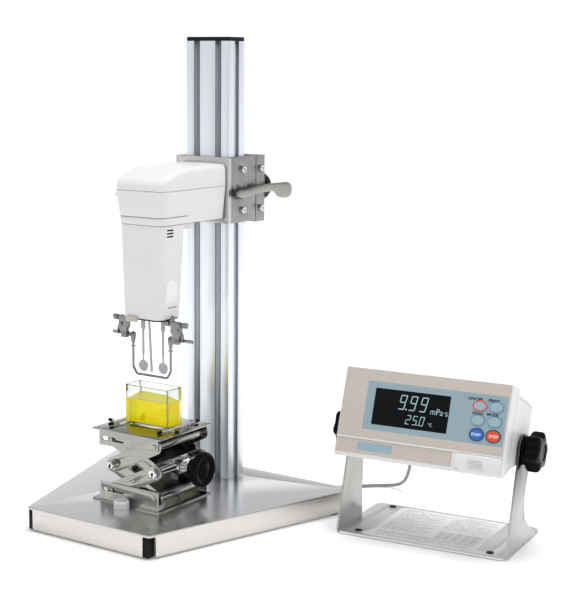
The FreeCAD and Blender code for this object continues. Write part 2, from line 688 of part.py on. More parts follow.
for sx, nm in ((-1, "protector_lever_left"), (1, "protector_lever_right")):
    a, b = sorted((sx * 41.2, sx * 56.5))
    bar = bx(a, -102.0, 206.8, b, -99.6, 210.2)
    a, b = sorted((sx * 33.6, sx * 42.0))
    bar2 = bx(a, -102.0, 206.2, b, -99.6, 210.8)
    pin = cyl((sx * 36.5, -107.6, 208.5), "y", 1.5, 7.0)
    feature(nm, fuse([bar, bar2, pin]))

# ================================ LAB JACK ======================================================
JS = float(jack_sheet)
JH = float(jack_half)
JF, JR = float(jack_front), float(jack_rear)
XR, ZB0, ZM0, ZT0 = 38.3, 40.0, 68.9, 97.8         # right pivots; base, middle and top pivot heights
XL = -21.5                                          # middle left axle at rest
L = float(arm_len)
AW = float(arm_wide) / 2
PR = float(pin_r)
AR = float(axle_r)
RG = float(run_gap)
FL, FR_ = JF + 1.5, JR - 1.5                        # outer faces of the flanges
fl_in_f, fl_in_r = FL + JS, FR_ - JS


def flange_pair(z0, z1, zp, lower):
    out = []
    for y0, y1 in ((FL, fl_in_f), (fl_in_r, FR_)):
        if lower:
            f = bx(-39, y0, z0, 44, y1, z1)
        else:
            f = prism([(-39, z1), (44, z1), (44, z0 + 4.4), (10, z0 + 2.4), (-10, z0 + 0.9), (-39, z0)], "y", y0, y1)
        slot = fuse([bx(-33, y0 - 1, zp - PR - 0.15, -6, y1 + 1, zp + PR + 0.15),
                     cyl((-33, y0 - 1, zp), "y", PR + 0.15, JS + 2), cyl((-6, y0 - 1, zp), "y", PR + 0.15, JS + 2)])
        out.append(f.cut(slot))
    return out


jb = [bx(-JH, JF, BT, JH, JR, BT + JS)] + flange_pair(BT + JS - 0.2, 48.5, ZB0, True)
jb = fuse(jb)
bar_in = 2 * (0.35 + JS) + 0.4                      # past both sheets of a side
pins = [cyl((XR, FL - 1.2, ZB0), "y", PR, FR_ - FL + 2.4), cyl((XR, FL - 1.4, ZB0), "y", 3.4, 1.4), cyl((XR, FR_, ZB0), "y", 3.4, 1.4),
        cyl((XR, fl_in_f + bar_in, ZB0), "y", 4.5, fl_in_r - fl_in_f - 2 * bar_in)]
feature("jack_base", fuse([jb] + pins))


def arm_shape(x0, z0, x1, z1, y_planes, r0, r1, rc, web=None, slot_pin=None):
    """A pair of side bars between two pivots. r0, r1, rc: hole radii at the ends and centre (0: no hole)."""
    ux, uz = (x1 - x0), (z1 - z0)
    n = math.hypot(ux, uz)
    ux, uz = ux / n, uz / n
    px, pz = -uz, ux
    out = []
    for y0, y1 in y_planes:
        bar = prism([(x0 + px * AW, z0 + pz * AW), (x1 + px * AW, z1 + pz * AW), (x1 - px * AW, z1 - pz * AW),
                     (x0 - px * AW, z0 - pz * AW)], "y", y0, y1)
        s = fuse([bar, cyl((x0, y0, z0), "y", AW, y1 - y0), cyl((x1, y0, z1), "y", AW, y1 - y0)])
        for (hx, hz, hr2) in ((x0, z0, r0), (x1, z1, r1), ((x0 + x1) / 2, (z0 + z1) / 2, rc)):
            if hr2:
                s = s.cut(cyl((hx, y0 - 1, hz), "y", hr2, y1 - y0 + 2))
        out.append(s)
    if web:
        s0, s1, side = web                          # web sheet along one edge, from s0 to s1 along the arm
        o1, o2 = side * AW, side * (AW - 1.2)
        ya, yb = y_planes[0][0], y_planes[1][1]
        q = [(x0 + ux * s0 + px * o1, z0 + uz * s0 + pz * o1), (x0 + ux * s1 + px * o1, z0 + uz * s1 + pz * o1),
             (x0 + ux * s1 + px * o2, z0 + uz * s1 + pz * o2), (x0 + ux * s0 + px * o2, z0 + uz * s0 + pz * o2)]
        out.append(prism(q, "y", ya, yb))
    return out


g = 0.35                                            # side clearance between neighbouring sheets
o_f = (fl_in_f + g, fl_in_f + g + JS)
o_r = (fl_in_r - g - JS, fl_in_r - g)
i_f = (o_f[1] + g, o_f[1] + g + JS)
i_r = (o_r[0] - g - JS, o_r[0] - g)
cx_, zc1, zc2 = (XR + XL) / 2, (ZB0 + ZM0) / 2, (ZM0 + ZT0) / 2

# inner lower arm: base pivot (right) up to the nut bar (left), a channel with its web below
low_a = arm_shape(XR, ZB0, XL, ZM0, (i_f, i_r), PR + RG, AR + RG, 0, web=(5.0, 62.0, 1))
for y0, y1 in ((o_f[0] - 0.3, i_f[1]), (i_r[0], o_r[1] + 0.3)):
    low_a.append(cyl((cx_, y0, zc1), "y", PR, y1 - y0))
feature("jack_lower_arm_inner", fuse(low_a))
# outer lower arm: sliding pin (left) up to the axle block (right)
low_b = arm_shape(XL, ZB0, XR, ZM0, (o_f, o_r), 0, AR + RG, PR + RG)
low_b.append(cyl((XL, FL - 1.0, ZB0), "y", PR, o_f[1] - FL + 1.0))
low_b.append(cyl((XL, o_r[0], ZB0), "y", PR, FR_ + 1.0 - o_r[0]))
feature("jack_lower_arm_outer", group([fuse([low_b[0], low_b[2]]), fuse([low_b[1], low_b[3]])]))
# outer upper arm: nut bar (left) up to the platform pivot (right)
up_a = arm_shape(XL, ZM0, XR, ZT0, (o_f, o_r), AR + RG, PR + RG, 0)
pa = cyl((cx_, o_f[0], zc2), "y", PR, i_f[1] + 0.3 - o_f[0])
pb = cyl((cx_, i_r[0] - 0.3, zc2), "y", PR, o_r[1] - i_r[0] + 0.3)
feature("jack_upper_arm_outer", group([fuse([up_a[0], pa]), fuse([up_a[1], pb])]))
# inner upper arm: axle block (right) up to the sliding pin (left), web above
up_b = arm_shape(XR, ZM0, XL, ZT0, (i_f, i_r), AR + 0.3, 0, PR + RG, web=(5.0, 62.0, -1))
up_b.append(cyl((XL, FL - 1.0, ZT0), "y", PR, i_f[1] - FL + 1.0))
up_b.append(cyl((XL, i_r[0], ZT0), "y", PR, FR_ + 1.0 - i_r[0]))
feature("jack_upper_arm_inner", fuse(up_b))

YC = (JF + JR) / 2
SR = float(screw_r)
nut = fuse([cyl((XL, FL - 1.6, ZM0), "y", AR, FR_ - FL + 3.2), cyl((XL, YC - 9, ZM0), "y", 7.0, 18)])
nut = nut.cut(cyl((XL - 10, YC, ZM0), "x", SR + RG, 20))
feature("jack_nut_bar", nut)
blk = fuse([cyl((XR, FL - 3.0, ZM0), "y", AR, FR_ - FL + 6.0), bx(XR - 7, YC - 9, ZM0 - 7, XR + 7, YC + 9, ZM0 + 7),
            cyl((XR, FL - 3.0, ZM0), "y", 5.5, 1.4), cyl((XR, FR_ + 1.6, ZM0), "y", 5.5, 1.4)])
blk = blk.cut(cyl((XR - 10, YC, ZM0), "x", SR + RG, 20))
feature("jack_axle_block", blk)
kb = [cyl((-40, YC, ZM0), "x", SR, 104), cyl((XR + 7.2, YC, ZM0), "x", 4.6, 3.0),
      Part.makeCone(10.0, 13.0, 10.7, Vector(56.0, YC, ZM0), Vector(1, 0, 0)), cyl((66.5, YC, ZM0), "x", 19.5, 8.5)]
kn = fuse(kb)
kn = round_edges(kn, 2.0, lambda e: e.Curve.TypeId == "Part::GeomCircle" and abs(e.Curve.Radius - 19.5) < 1e-3)
feature("jack_screw_knob", kn)

plat = [bx(-JH, JF, 106.5, JH, JR, 108.0)] + flange_pair(89.6, 106.6, ZT0, False)
pl = fuse(plat)
bar_in = 0.35 + JS + 0.4
ppins = [cyl((XR, FL - 1.2, ZT0), "y", PR, FR_ - FL + 2.4), cyl((XR, FL - 1.4, ZT0), "y", 3.4, 1.4), cyl((XR, FR_, ZT0), "y", 3.4, 1.4),
         cyl((XR, fl_in_f + bar_in, ZT0), "y", 4.5, fl_in_r - fl_in_f - 2 * bar_in)]
feature("jack_platform", fuse([pl] + ppins))

# Wire guides that keep the cup in place: a rail each side with black tipped ends.
gd = []
for sx in (-1, 1):
    x = sx * 34.5
    gd.append(fuse([cyl((x, -134, 110.6), "y", 1.25, 70), cyl((x, -134.5, 110.6), "y", 2.0, 5.5), cyl((x, -68.5, 110.6), "y", 2.0, 5.5),
                    cyl((x, -120, 108.0), "z", 1.6, 2.7), cyl((x, -80, 108.0), "z", 1.6, 2.7)]))
    y0 = -132.0
    a, b = sorted((sx * 35.5, sx * 48.0))
    gd.append(fuse([cyl((a, -117.5, 110.4), "x", 1.0, b - a), cyl((sx * 45.0 if sx > 0 else sx * 45.0 - 4.5, -117.5, 110.4), "x", 1.9, 4.5)]))
feature("cup_guides", group([fuse(gd[0:2]), fuse(gd[2:4])]))

# Sample cup: clear rectangular box, open at the top.
cw, cd, cz, wl = float(cup_w) / 2, float(cup_d) / 2, float(cup_h), float(cup_wall)
c_out = loft([rrect_wire(0, -99.5, cw, cd, 3.5, 108.05), rrect_wire(0, -99.5, cw, cd, 3.5, 108.05 + cz)])
c_in = loft([rrect_wire(0, -99.5, cw - wl, cd - wl, 2.2, 108.05 + 2.0), rrect_wire(0, -99.5, cw - wl, cd - wl, 2.2, 108.05 + cz + 1)])
feature("sample_cup", c_out.cut(c_in))

# ================================ DISPLAY UNIT ==================================================
YAW, TILT = float(disp_yaw), float(disp_tilt)
BR = G.multiply(Placement(Vector(291.0, -13.5, 0), Rotation(Vector(0, 0, 1), YAW)))
PCY, PCZ = 3.91, 148.14                             # centre of the panel in the bracket's frame
DU = BR.multiply(Placement(Vector(0, PCY, PCZ), Rotation(Vector(1, 0, 0), -TILT)))
PVY, PVZ = 50.0, 107.5                              # tilt axis in the bracket's frame
ct, st = math.cos(math.radians(TILT)), math.sin(math.radians(TILT))
PW = (PVY - PCY) * ct - (PVZ - PCZ) * st
PV = (PVY - PCY) * st + (PVZ - PCZ) * ct

BH, BS, BD = float(brk_half), float(brk_sheet), float(brk_deep)
foot = bx(-BH, 0, 0.8, BH, BD, 0.8 + BS)
foot = round_edges(foot, 9.0, lambda e: is_dir(e, "z"))
up = []
for sx in (-1, 1):
    a, b = sorted((sx * (BH - BS), sx * BH))
    capc = cyl((a, PVY, PVZ), "x", 17.5, BS)
    if sx > 0:
        w = prism([(1.5, 1.0), (98.0, 1.0), (96.5, 2.9), (89.5, 6.5), (81.5, 12.5), (73.5, 18.5), (65.5, 24.8), (60.0, 30.5),
                   (57.0, 37.0), (55.8, 46.0), (56.2, 55.0), (59.0, 64.0), (63.5, 74.0), (66.3, 84.0), (67.5, PVZ), (PVY - 17.5, PVZ)], "x", a, b)
    else:
        w = prism([(1.5, 1.0), (66.0, 1.0), (65.6, 40.0), (67.5, PVZ), (PVY - 17.5, PVZ)], "x", a, b)
    s = fuse([w, capc])
    s = s.cut(cyl((a - 1, PVY, PVZ), "x", 4.08, BS + 2))
    up.append(s)
brk = fuse([foot] + up)
brk = brk.cut(bx(-BH - 1, -1, 2.8, -BH + 3.0, 3.0, 9.0)).cut(bx(BH - 3.0, -1, 2.8, BH + 1, 3.0, 9.0))
for hx, hy in ((-75.8, 109.0), (-75.8, 13.0), (75.8, 13.0), (75.8, 109.0)):
    brk = brk.cut(cyl((hx, hy, -1), "z", 2.6, 8))
bump = [cyl((sx * 84, y, 0), "z", 5.0, 0.9) for sx in (-1, 1) for y in (18, 98)]
feature("display_bracket", group([fuse([brk] + bump)]), base=BR)

DH, DWL = float(disp_half), float(disp_wall)
front_poly = [(0, 38.5), (22, 37.6), (22, -50.6), (8, -58), (2, -58), (0, -55)]
cav_poly = [(DWL, 36.0), (22.2, 35.1), (22.2, -47.9), (8, -55.2), (DWL, -52.6)]
fc = prism(front_poly, "x", -DH, DH)
fc = round_edges(fc, 1.0, lambda e: is_dir(e, "y") is False and is_dir(e, "x") is False and abs(abs(e.CenterOfMass.x) - DH) < 1e-3
                 and e.BoundBox.YMax < 1e-3 and e.BoundBox.YMin > -1e-3 and e.Length > 40)
fc = fc.cut(prism(cav_poly, "x", -DH + DWL, DH - DWL))
fc = fuse([fc, bx(-DH + 2.5, -1.2, -38.0, DH - 2.5, 0.4, -36.2)])
WX0, WX1, WZ0, WZ1 = -56.3, 28.0, -20.8, 18.6
fc = fc.cut(bx(WX0, -3, WZ0, WX1, 4, WZ1))
KEYS = {"key_power": (61.2, 12.9), "key_print": (79.8, 12.9), "key_hold": (61.2, -2.4), "key_mode": (79.8, -2.4),
        "key_start": (61.2, -17.3), "key_stop": (79.8, -17.3)}
kr = float(key_r)
for kx, kz in KEYS.values():
    fc = fc.cut(cyl((kx, -3, kz), "y", kr + 0.2, 8))
feature("display_front_case", fc, base=DU)

rear_poly = [(22, 37.6), (24, 37.5), (26, 31.6), (56, 30.2), (78, 24.6), (78, -20), (60, -37), (30, -46.5), (22, -50.6)]
rear_cav = [(21.9, 35.1), (23, 35.0), (24.6, 29.1), (55.8, 27.7), (75.5, 22.6), (75.5, -19), (59, -34.4), (29.4, -43.9), (21.9, -47.9)]
rc = prism(rear_poly, "x", -DH, DH)
rc = rc.cut(prism(rear_cav, "x", -DH + DWL, DH - DWL))
for sx in (-1, 1):
    a = DH - DWL - 1 if sx > 0 else -DH - 1
    rc = rc.cut(cyl((a, PW, PV), "x", 6.5, DWL + 2))
rc = rc.cut(cyl((-52, 74, 0), "y", 8.0, 6)).cut(bx(10, 74, -8, 44, 80, 4)).cut(cyl((66, 74, -2), "y", 4.5, 6))
feature("display_rear_case", rc, base=DU)

ov = bx(-92.8, -0.35, -36.1, 92.8, 0, 37.6)
ov = round_edges(ov, 1.0, lambda e: is_dir(e, "y"))
ov = ov.cut(bx(WX0, -3, WZ0, WX1, 4, WZ1))
for kx, kz in KEYS.values():
    ov = ov.cut(cyl((kx, -3, kz), "y", kr + 0.2, 8))
strip = bx(-92.8, -0.35, -53.8, 38.8, 0, -38.6)
feature("display_overlay", group([ov, strip]), base=DU)
plate_body("display_window", cell("window_w", 84.2), cell("window_h", 39.3), cell("window_t", 2.0),
           ((WX0 + WX1) / 2, 1.75, (WZ0 + WZ1) / 2), ROTX90, base=DU)
for nm, (kx, kz) in KEYS.items():
    disc_body(nm, key_r, cell("key_thick", 2.4), (kx, 1.5, kz), ROTX90, base=DU)
pcb = bx(-86, 9.0, -33, 86, 10.6, 33)
mod = bx(-54, 3.0, -18, 26, 8.9, 16.5)
sw = [bx(kx - 3, 5.6, kz - 3, kx + 3, 9.0, kz + 3) for kx, kz in KEYS.values()]
back = bx(-70, 40.0, -20, -10, 58.0, 20)
post = bx(-60, 10.6, -6, -54, 40.0, 0)
feature("display_electronics", fuse([pcb, mod, post, back] + sw), base=DU)
fit = []
for sx in (-1, 1):
    a = DH - 14.0 if sx > 0 else -DH
    ins = cyl((a, PW, PV), "x", 6.45, 14.0).cut(cyl((a - 1, PW, PV), "x", 4.0 + RG, 16))
    fit.append(ins)
    a = DH + 0.05 if sx > 0 else -DH - 1.45
    fit.append(cyl((a, PW, PV), "x", 15.0, 1.4).cut(cyl((a - 1, PW, PV), "x", 4.0 + 0.09, 4)))
fit.append(fuse([cyl((-52, 70, 0), "y", 7.9, 9.5), cyl((-52, 79.0, 0), "y", 6.6, 16.0),
                 Part.makeCone(4.8, 2.9, 12, Vector(-52, 95, 0), Vector(0, 1, 0))]))
fit.append(bx(10.2, 72, -7.8, 43.8, 79.5, 3.8))
fit.append(cyl((66, 70, -2), "y", 4.4, 8.6).cut(cyl((66, 74, -2), "y", 2.7, 8)))
feature("display_fittings", group(fit), base=DU)
oc = prism([(0.0, -38.2), (0.0, -55.0), (1.3, -57.0), (-1.0, -57.5), (-3.0, -55.0), (-2.6, -40.0), (-1.0, -38.2)], "x", 43.0, 92.5)
feature("side_cover", oc, base=DU)

# Tilt knobs: threaded stud into the insert, star-shaped grip outside the bracket.
for sx, nm in ((-1, "tilt_knob_left"), (1, "tilt_knob_right")):
    def xs(a, b):
        return sorted((sx * a, sx * b))
    a, b = xs(84.0, 98.4)
    s = [cyl((a, PW, PV), "x", 4.0, b - a)]
    a, b = xs(97.9, 104.5)
    s.append(cyl((a, PW, PV), "x", 11.0, b - a))
    a, b = xs(101.4, 118.23)
    star = cyl((a, PW, PV), "x", 18.4, b - a)
    lobes = [cyl((a, PW + 16.4 * math.cos(k * math.pi / 3 + 0.4), PV + 16.4 * math.sin(k * math.pi / 3 + 0.4)), "x", 5.6, b - a) for k in range(6)]
    s.append(star)
    s += lobes
    feature(nm, fuse(s), base=DU)

# ================================ CABLE =========================================================
CR = float(cable_r)


def from_bracket(x, y, z):
    v = BR.multVec(Vector(x, y, z))
    return (v.x, v.y, v.z)


def from_display(x, w, v):
    p = DU.multVec(Vector(x, w, v))
    return (p.x, p.y, p.z)


def st_(x, y, z):
    return (x + OX, y + OY, z)


e0 = from_display(-52, 107.05, 0)
e1 = from_display(-52, 117.0, 0)
route_low = [e0, e1, st_(224.0, 106.5, 99.5), st_(217.5, 109.0, 79.0), st_(211.0, 115.0, 61.0), st_(203.5, 125.0, 43.5), st_(194.0, 137.5, 27.5),
             st_(183.0, 149.5, 14.0), st_(169.0, 157.5, 5.0), st_(153.0, 156.5, 2.1), st_(138.0, 145.0, 2.0), st_(124.0, 129.0, 2.0),
             st_(108.0, 114.0, 2.0), st_(89.0, 101.0, 2.0), st_(64.0, 89.5, 2.0), st_(36.0, 79.5, 2.0), st_(8.0, 72.5, 2.0), st_(-16.0, 64.5, 2.0),
             st_(-35.0, 60.0, 2.0)]
COIL_X, COIL_Y = -50.0, 84.0
route_up = [st_(-24.1, 88.0, 6.1), st_(-12.0, 82.0, 11.5), st_(-5.0, 70.0, 21.0), st_(-6.0, 60.5, 35.0), st_(-10.0, 51.0, 48.0), st_(-13.4, 41.5, 60.0),
            st_(-15.0, 35.0, 77.0), st_(-15.2, 34.3, 101.0), st_(-14.9, 34.5, 130.0), st_(-15.1, 34.4, 156.0), st_(-15.0, 34.5, 178.0)]
loop_pts = [st_(-15.0, 34.5, 178.0), st_(-15.3, 34.9, 198.0), st_(-15.0, 34.6, 217.9), st_(-22.0, 46.7, 232.0), st_(-32.0, 63.9, 232.0),
            st_(-39.0, 76.1, 217.9), st_(-40.1, 77.8, 199.5), st_(-40.4, 77.3, 182.0), st_(-40.0, 77.8, 165.1), st_(-47.0, 90.0, 151.0),
            st_(-57.0, 107.2, 151.0), st_(-64.0, 119.4, 165.1), st_(-64.8, 120.8, 186.0), st_(-64.2, 119.6, 210.0), st_(-63.5, 118.8, 237.0),
            st_(-60.5, 119.6, 264.0), st_(-51.5, 122.5, 289.0), st_(-41.0, 125.0, 311.0), st_(-30.0, 124.0, 329.0), st_(-24.5, 117.5, 343.0),
            st_(-22.0, 106.5, 350.0), st_(-22.0, 94.05, 350.0)]
feature("cable_lower", route_tube(route_low, CR, "cable_lower"), base=Placement())
feature("cable_riser", route_tube(route_up, CR, "cable_riser"), base=Placement())
feature("cable_loop", route_tube(loop_pts, CR, "cable_loop"), base=Placement())
ring = cyl((COIL_X, COIL_Y, 0.0), "z", 26.2, 8.2).cut(cyl((COIL_X, COIL_Y, -1), "z", 17.8, 16))
feature("cable_coil", ring)

clips = []
for z in (90.0, 168.0):
    c = bx(-19.5, 30.0, z - 4, -10.5, 38.2, z + 4)
    c = c.cut(cyl((-15, 34.4, z - 5), "z", CR + 0.5, 10))
    clips.append(c)
feature("cable_clips", group(clips))

# ---- checks and output ------------------------------------------------------------------------
doc.recompute()
bad = [o.Name for o in doc.Objects if "Invalid" in o.State or "Error" in o.State]
if bad:
    raise RuntimeError("failed objects: " + ", ".join(bad))
os.makedirs("parts", exist_ok=True)
box = None
for n in nodes:
    s = n.Shape
    if s.isNull() or not s.isValid() or not s.Solids:
        raise RuntimeError("bad shape: " + n.Label)
    if not n.Label.startswith("cable_l") and n.Label not in ("cable_riser", "cable_coil"):
        b = s.BoundBox
        if box is None:
            box = FreeCAD.BoundBox(b)
        else:
            box.add(b)
labels = [n.Label for n in nodes]
if len(set(labels)) != len(labels):
    raise RuntimeError("two pieces share a name")
print("%d pieces; box x %.3f %.3f y %.3f %.3f z %.3f %.3f; centre %.3f %.3f" % (
    len(nodes), box.XMin, box.XMax, box.YMin, box.YMax, box.ZMin, box.ZMax, (box.XMin + box.XMax) / 2, (box.YMin + box.YMax) / 2))
for n in nodes:
    n.Shape.exportStep("parts/%s.step" % n.Label)
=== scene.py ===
import bpy, bmesh, math, json, random
from mathutils import Vector, Matrix


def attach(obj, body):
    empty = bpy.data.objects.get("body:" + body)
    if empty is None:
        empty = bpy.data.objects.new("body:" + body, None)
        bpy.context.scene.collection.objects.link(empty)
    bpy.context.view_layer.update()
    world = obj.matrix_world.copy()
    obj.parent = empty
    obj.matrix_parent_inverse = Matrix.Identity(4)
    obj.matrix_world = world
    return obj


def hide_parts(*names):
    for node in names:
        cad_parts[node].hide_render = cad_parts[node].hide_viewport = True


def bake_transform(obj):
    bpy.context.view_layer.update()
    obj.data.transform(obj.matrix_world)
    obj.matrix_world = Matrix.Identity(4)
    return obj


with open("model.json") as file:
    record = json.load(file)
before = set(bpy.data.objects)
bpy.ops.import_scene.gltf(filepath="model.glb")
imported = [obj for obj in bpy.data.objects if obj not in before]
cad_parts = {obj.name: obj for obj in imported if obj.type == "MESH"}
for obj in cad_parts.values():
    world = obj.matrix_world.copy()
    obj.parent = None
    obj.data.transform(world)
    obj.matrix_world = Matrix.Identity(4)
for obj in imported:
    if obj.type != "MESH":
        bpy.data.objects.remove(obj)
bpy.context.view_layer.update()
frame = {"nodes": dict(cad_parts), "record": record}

# ---------------------------------------------------------------- frames (millimetres in, metres out)
OX, OY = -117.876, 51.001
YAW, TILT = math.radians(6.487), math.radians(19.14)
MM = Matrix.Scale(0.001, 4)
G = Matrix.Translation((OX / 1000, OY / 1000, 0)) @ MM
BR = Matrix.Translation(((OX + 291) / 1000, (OY - 13.5) / 1000, 0)) @ Matrix.Rotation(YAW, 4, "Z") @ MM
DU = (Matrix.Translation(((OX + 291) / 1000, (OY - 13.5) / 1000, 0)) @ Matrix.Rotation(YAW, 4, "Z")
      @ Matrix.Translation((0, 0.00391, 0.14814)) @ Matrix.Rotation(-TILT, 4, "X") @ MM)
PW = (50.0 - 3.91) * math.cos(TILT) - (107.5 - 148.14) * math.sin(TILT)
PV = (50.0 - 3.91) * math.sin(TILT) + (107.5 - 148.14) * math.cos(TILT)


# ---------------------------------------------------------------- materials
def nodes_of(m):
    return m.node_tree.nodes, m.node_tree.links


def new_mat(name, color, metallic=0.0, rough=0.4, spec=0.5, coat=0.0, coat_rough=0.1, ior=1.5, trans=0.0, emit=None, emit_s=0.0,
            bump=None, rough_var=None, tint_var=None, stretch=(1, 1, 1), rot=(0, 0, 0), aniso=0.0, sheen=0.0, sss=0.0, alpha=1.0):
    """Principled material; bump=(scale per metre, strength, distance), rough_var=(scale, low, high), tint_var=(scale, second colour)."""
    m = bpy.data.materials.new(name)
    m.use_nodes = True
    n, l = nodes_of(m)
    b = n["Principled BSDF"]
    b.inputs["Base Color"].default_value = (*color, 1)
    b.inputs["Metallic"].default_value = metallic
    b.inputs["Roughness"].default_value = rough
    b.inputs["Specular IOR Level"].default_value = spec
    b.inputs["Coat Weight"].default_value = coat
    b.inputs["Coat Roughness"].default_value = coat_rough
    b.inputs["IOR"].default_value = ior
    b.inputs["Transmission Weight"].default_value = trans
    b.inputs["Subsurface Weight"].default_value = sss
    if aniso:
        b.inputs["Anisotropic"].default_value = aniso
    if emit is not None:
        b.inputs["Emission Color"].default_value = (*emit, 1)
        b.inputs["Emission Strength"].default_value = emit_s
    if bump or rough_var or tint_var:
        tc = n.new("ShaderNodeTexCoord")
        mp = n.new("ShaderNodeMapping")
        mp.inputs["Scale"].default_value = stretch
        mp.inputs["Rotation"].default_value = rot
        l.new(tc.outputs["Object"], mp.inputs["Vector"])

        def noise(scale, detail=3.0):
            t = n.new("ShaderNodeTexNoise")
            t.inputs["Scale"].default_value = scale
            t.inputs["Detail"].default_value = detail
            t.inputs["Roughness"].default_value = 0.6
            l.new(mp.outputs["Vector"], t.inputs["Vector"])
            return t
        if bump:
            t = noise(bump[0])
            bp = n.new("ShaderNodeBump")
            bp.inputs["Strength"].default_value = bump[1]
            bp.inputs["Distance"].default_value = bump[2]
            l.new(t.outputs["Fac"], bp.inputs["Height"])
            l.new(bp.outputs["Normal"], b.inputs["Normal"])
        if rough_var:
            t = noise(rough_var[0])
            r = n.new("ShaderNodeMapRange")
            r.inputs["From Min"].default_value = 0.3
            r.inputs["From Max"].default_value = 0.7
            r.inputs["To Min"].default_value = rough_var[1]
            r.inputs["To Max"].default_value = rough_var[2]
            l.new(t.outputs["Fac"], r.inputs["Value"])
            l.new(r.outputs["Result"], b.inputs["Roughness"])
        if tint_var:
            t = noise(tint_var[0])
            r = n.new("ShaderNodeValToRGB")
            r.color_ramp.elements[0].position = 0.35
            r.color_ramp.elements[1].position = 0.65
            r.color_ramp.elements[0].color = (*color, 1)
            r.color_ramp.elements[1].color = (*tint_var[1], 1)
            l.new(t.outputs["Fac"], r.inputs["Fac"])
            l.new(r.outputs["Color"], b.inputs["Base Color"])
    return m


def add_edge_wear(m, bright):
    """Returns the material unchanged; no edges are lightened or polished."""
    return m


MAT = {}
MAT["white_plastic"] = new_mat("white_plastic_m", (0.74, 0.742, 0.74), rough=0.36, coat=0.12, coat_rough=0.25,
                               bump=(2600, 0.10, 0.00006), rough_var=(900, 0.32, 0.42), tint_var=(25, (0.73, 0.732, 0.729)))
# a lighter, glossier copy of the white plastic for the raised arch: painted highlight
MAT["white_plastic_highlit"] = new_mat("white_plastic_highlit_m", (0.84, 0.842, 0.84), rough=0.26, coat=0.3, coat_rough=0.15, bump=(2600, 0.06, 0.00004), rough_var=(900, 0.22, 0.30))
# a darker copy of the white plastic for the inner lips seen through the seams: painted shade in the gaps
MAT["white_inner_shaded"] = new_mat("white_inner_shaded_m", (0.62, 0.61, 0.59), rough=0.5, bump=(1500, 0.1, 0.0001), tint_var=(60, (0.58, 0.57, 0.55)))
MAT["stainless_sheet"] = new_mat("stainless_sheet_m", (0.60, 0.585, 0.56), metallic=1.0, rough=0.26, bump=(1.0, 0.10, 0.00005), rough_var=(1.0, 0.20, 0.34),
                                 tint_var=(0.7, (0.56, 0.545, 0.52)), stretch=(22, 2600, 2600))
MAT["stainless_plate"] = new_mat("stainless_plate_m", (0.31, 0.312, 0.313), metallic=1.0, rough=0.32, bump=(1.0, 0.05, 0.00004), rough_var=(1.0, 0.28, 0.37),
                                 tint_var=(0.7, (0.27, 0.272, 0.273)), stretch=(1800, 1800, 40))
MAT["front_steel"] = new_mat("front_steel_m", (0.54, 0.537, 0.53), metallic=1.0, rough=0.3, bump=(1.0, 0.14, 0.00005), rough_var=(1.0, 0.24, 0.40),
                             tint_var=(0.7, (0.55, 0.545, 0.53)), stretch=(1800, 1800, 40))
MAT["key_pale"] = new_mat("key_face_m", (0.315, 0.425, 0.47), rough=0.42, bump=(2500, 0.05, 0.00003), rough_var=(500, 0.38, 0.47))
MAT["ring_navy"] = new_mat("ring_navy_m", (0.02, 0.028, 0.09), rough=0.4, rough_var=(500, 0.34, 0.46))
MAT["seam_shade"] = new_mat("seam_shade_m", (0.25, 0.25, 0.25), rough=0.6, tint_var=(300, (0.30, 0.30, 0.30)))
MAT["rib_shade"] = new_mat("rib_shade_m", (0.52, 0.52, 0.52), rough=0.6, tint_var=(300, (0.56, 0.56, 0.56)))
# a separate copy of the liquid for its top surface, with its own colour and emission: painted glow
MAT["liquid_top_glow"] = new_mat("liquid_top_glow_m", (0.86, 0.87, 0.10), rough=0.05, trans=0.5, ior=1.33, emit=(0.90, 0.88, 0.16), emit_s=0.22, tint_var=(60, (0.90, 0.82, 0.04)))
MAT["bracket_steel"] = new_mat("bracket_steel_m", (0.88, 0.872, 0.855), metallic=1.0, rough=0.38, bump=(1.0, 0.08, 0.00004), rough_var=(1.0, 0.32, 0.44),
                               tint_var=(0.7, (0.84, 0.832, 0.815)), stretch=(30, 1800, 1800), rot=(0, 0, -YAW))
MAT["jack_steel"] = new_mat("jack_steel_m", (0.41, 0.404, 0.387), metallic=1.0, rough=0.14, bump=(1.0, 0.08, 0.00003), rough_var=(1.0, 0.10, 0.20),
                            tint_var=(0.8, (0.32, 0.315, 0.30)), stretch=(60, 1400, 1400))
MAT["screw_steel"] = new_mat("screw_steel_m", (0.76, 0.755, 0.745), metallic=1.0, rough=0.16, rough_var=(700, 0.10, 0.24), bump=(900, 0.05, 0.00003))
MAT["probe_steel"] = new_mat("probe_steel_m", (0.36, 0.36, 0.37), metallic=1.0, rough=0.34, rough_var=(600, 0.26, 0.42), bump=(1800, 0.06, 0.00003))
MAT["holder_steel"] = new_mat("holder_steel_m", (0.28, 0.28, 0.285), metallic=0.95, rough=0.38, rough_var=(500, 0.30, 0.48), bump=(2200, 0.10, 0.00004),
                              tint_var=(160, (0.23, 0.23, 0.235)))
MAT["sensor_gold_steel"] = new_mat("sensor_plate_m", (0.40, 0.41, 0.43), metallic=0.7, rough=0.5, rough_var=(900, 0.42, 0.58), bump=(2600, 0.08, 0.00003))
MAT["anodised"] = new_mat("anodised_m", (0.87, 0.90, 0.95), metallic=0.85, rough=0.34, bump=(1.0, 0.12, 0.00004), rough_var=(1.0, 0.28, 0.42),
                          tint_var=(0.8, (0.77, 0.80, 0.85)), stretch=(2400, 2400, 12))
MAT["cast_frame"] = new_mat("cast_frame_m", (0.5, 0.5, 0.5), metallic=0.9, rough=0.5, bump=(900, 0.3, 0.0001), rough_var=(400, 0.4, 0.6))
MAT["black_plastic"] = new_mat("black_plastic_m", (0.007, 0.007, 0.008), rough=0.42, spec=0.13, bump=(1800, 0.15, 0.00006), rough_var=(600, 0.36, 0.5))
MAT["black_knob"] = new_mat("black_knob_m", (0.004, 0.004, 0.005), rough=0.24, spec=0.06, coat=0.0, coat_rough=0.08, bump=(700, 0.04, 0.00006), rough_var=(300, 0.13, 0.22))
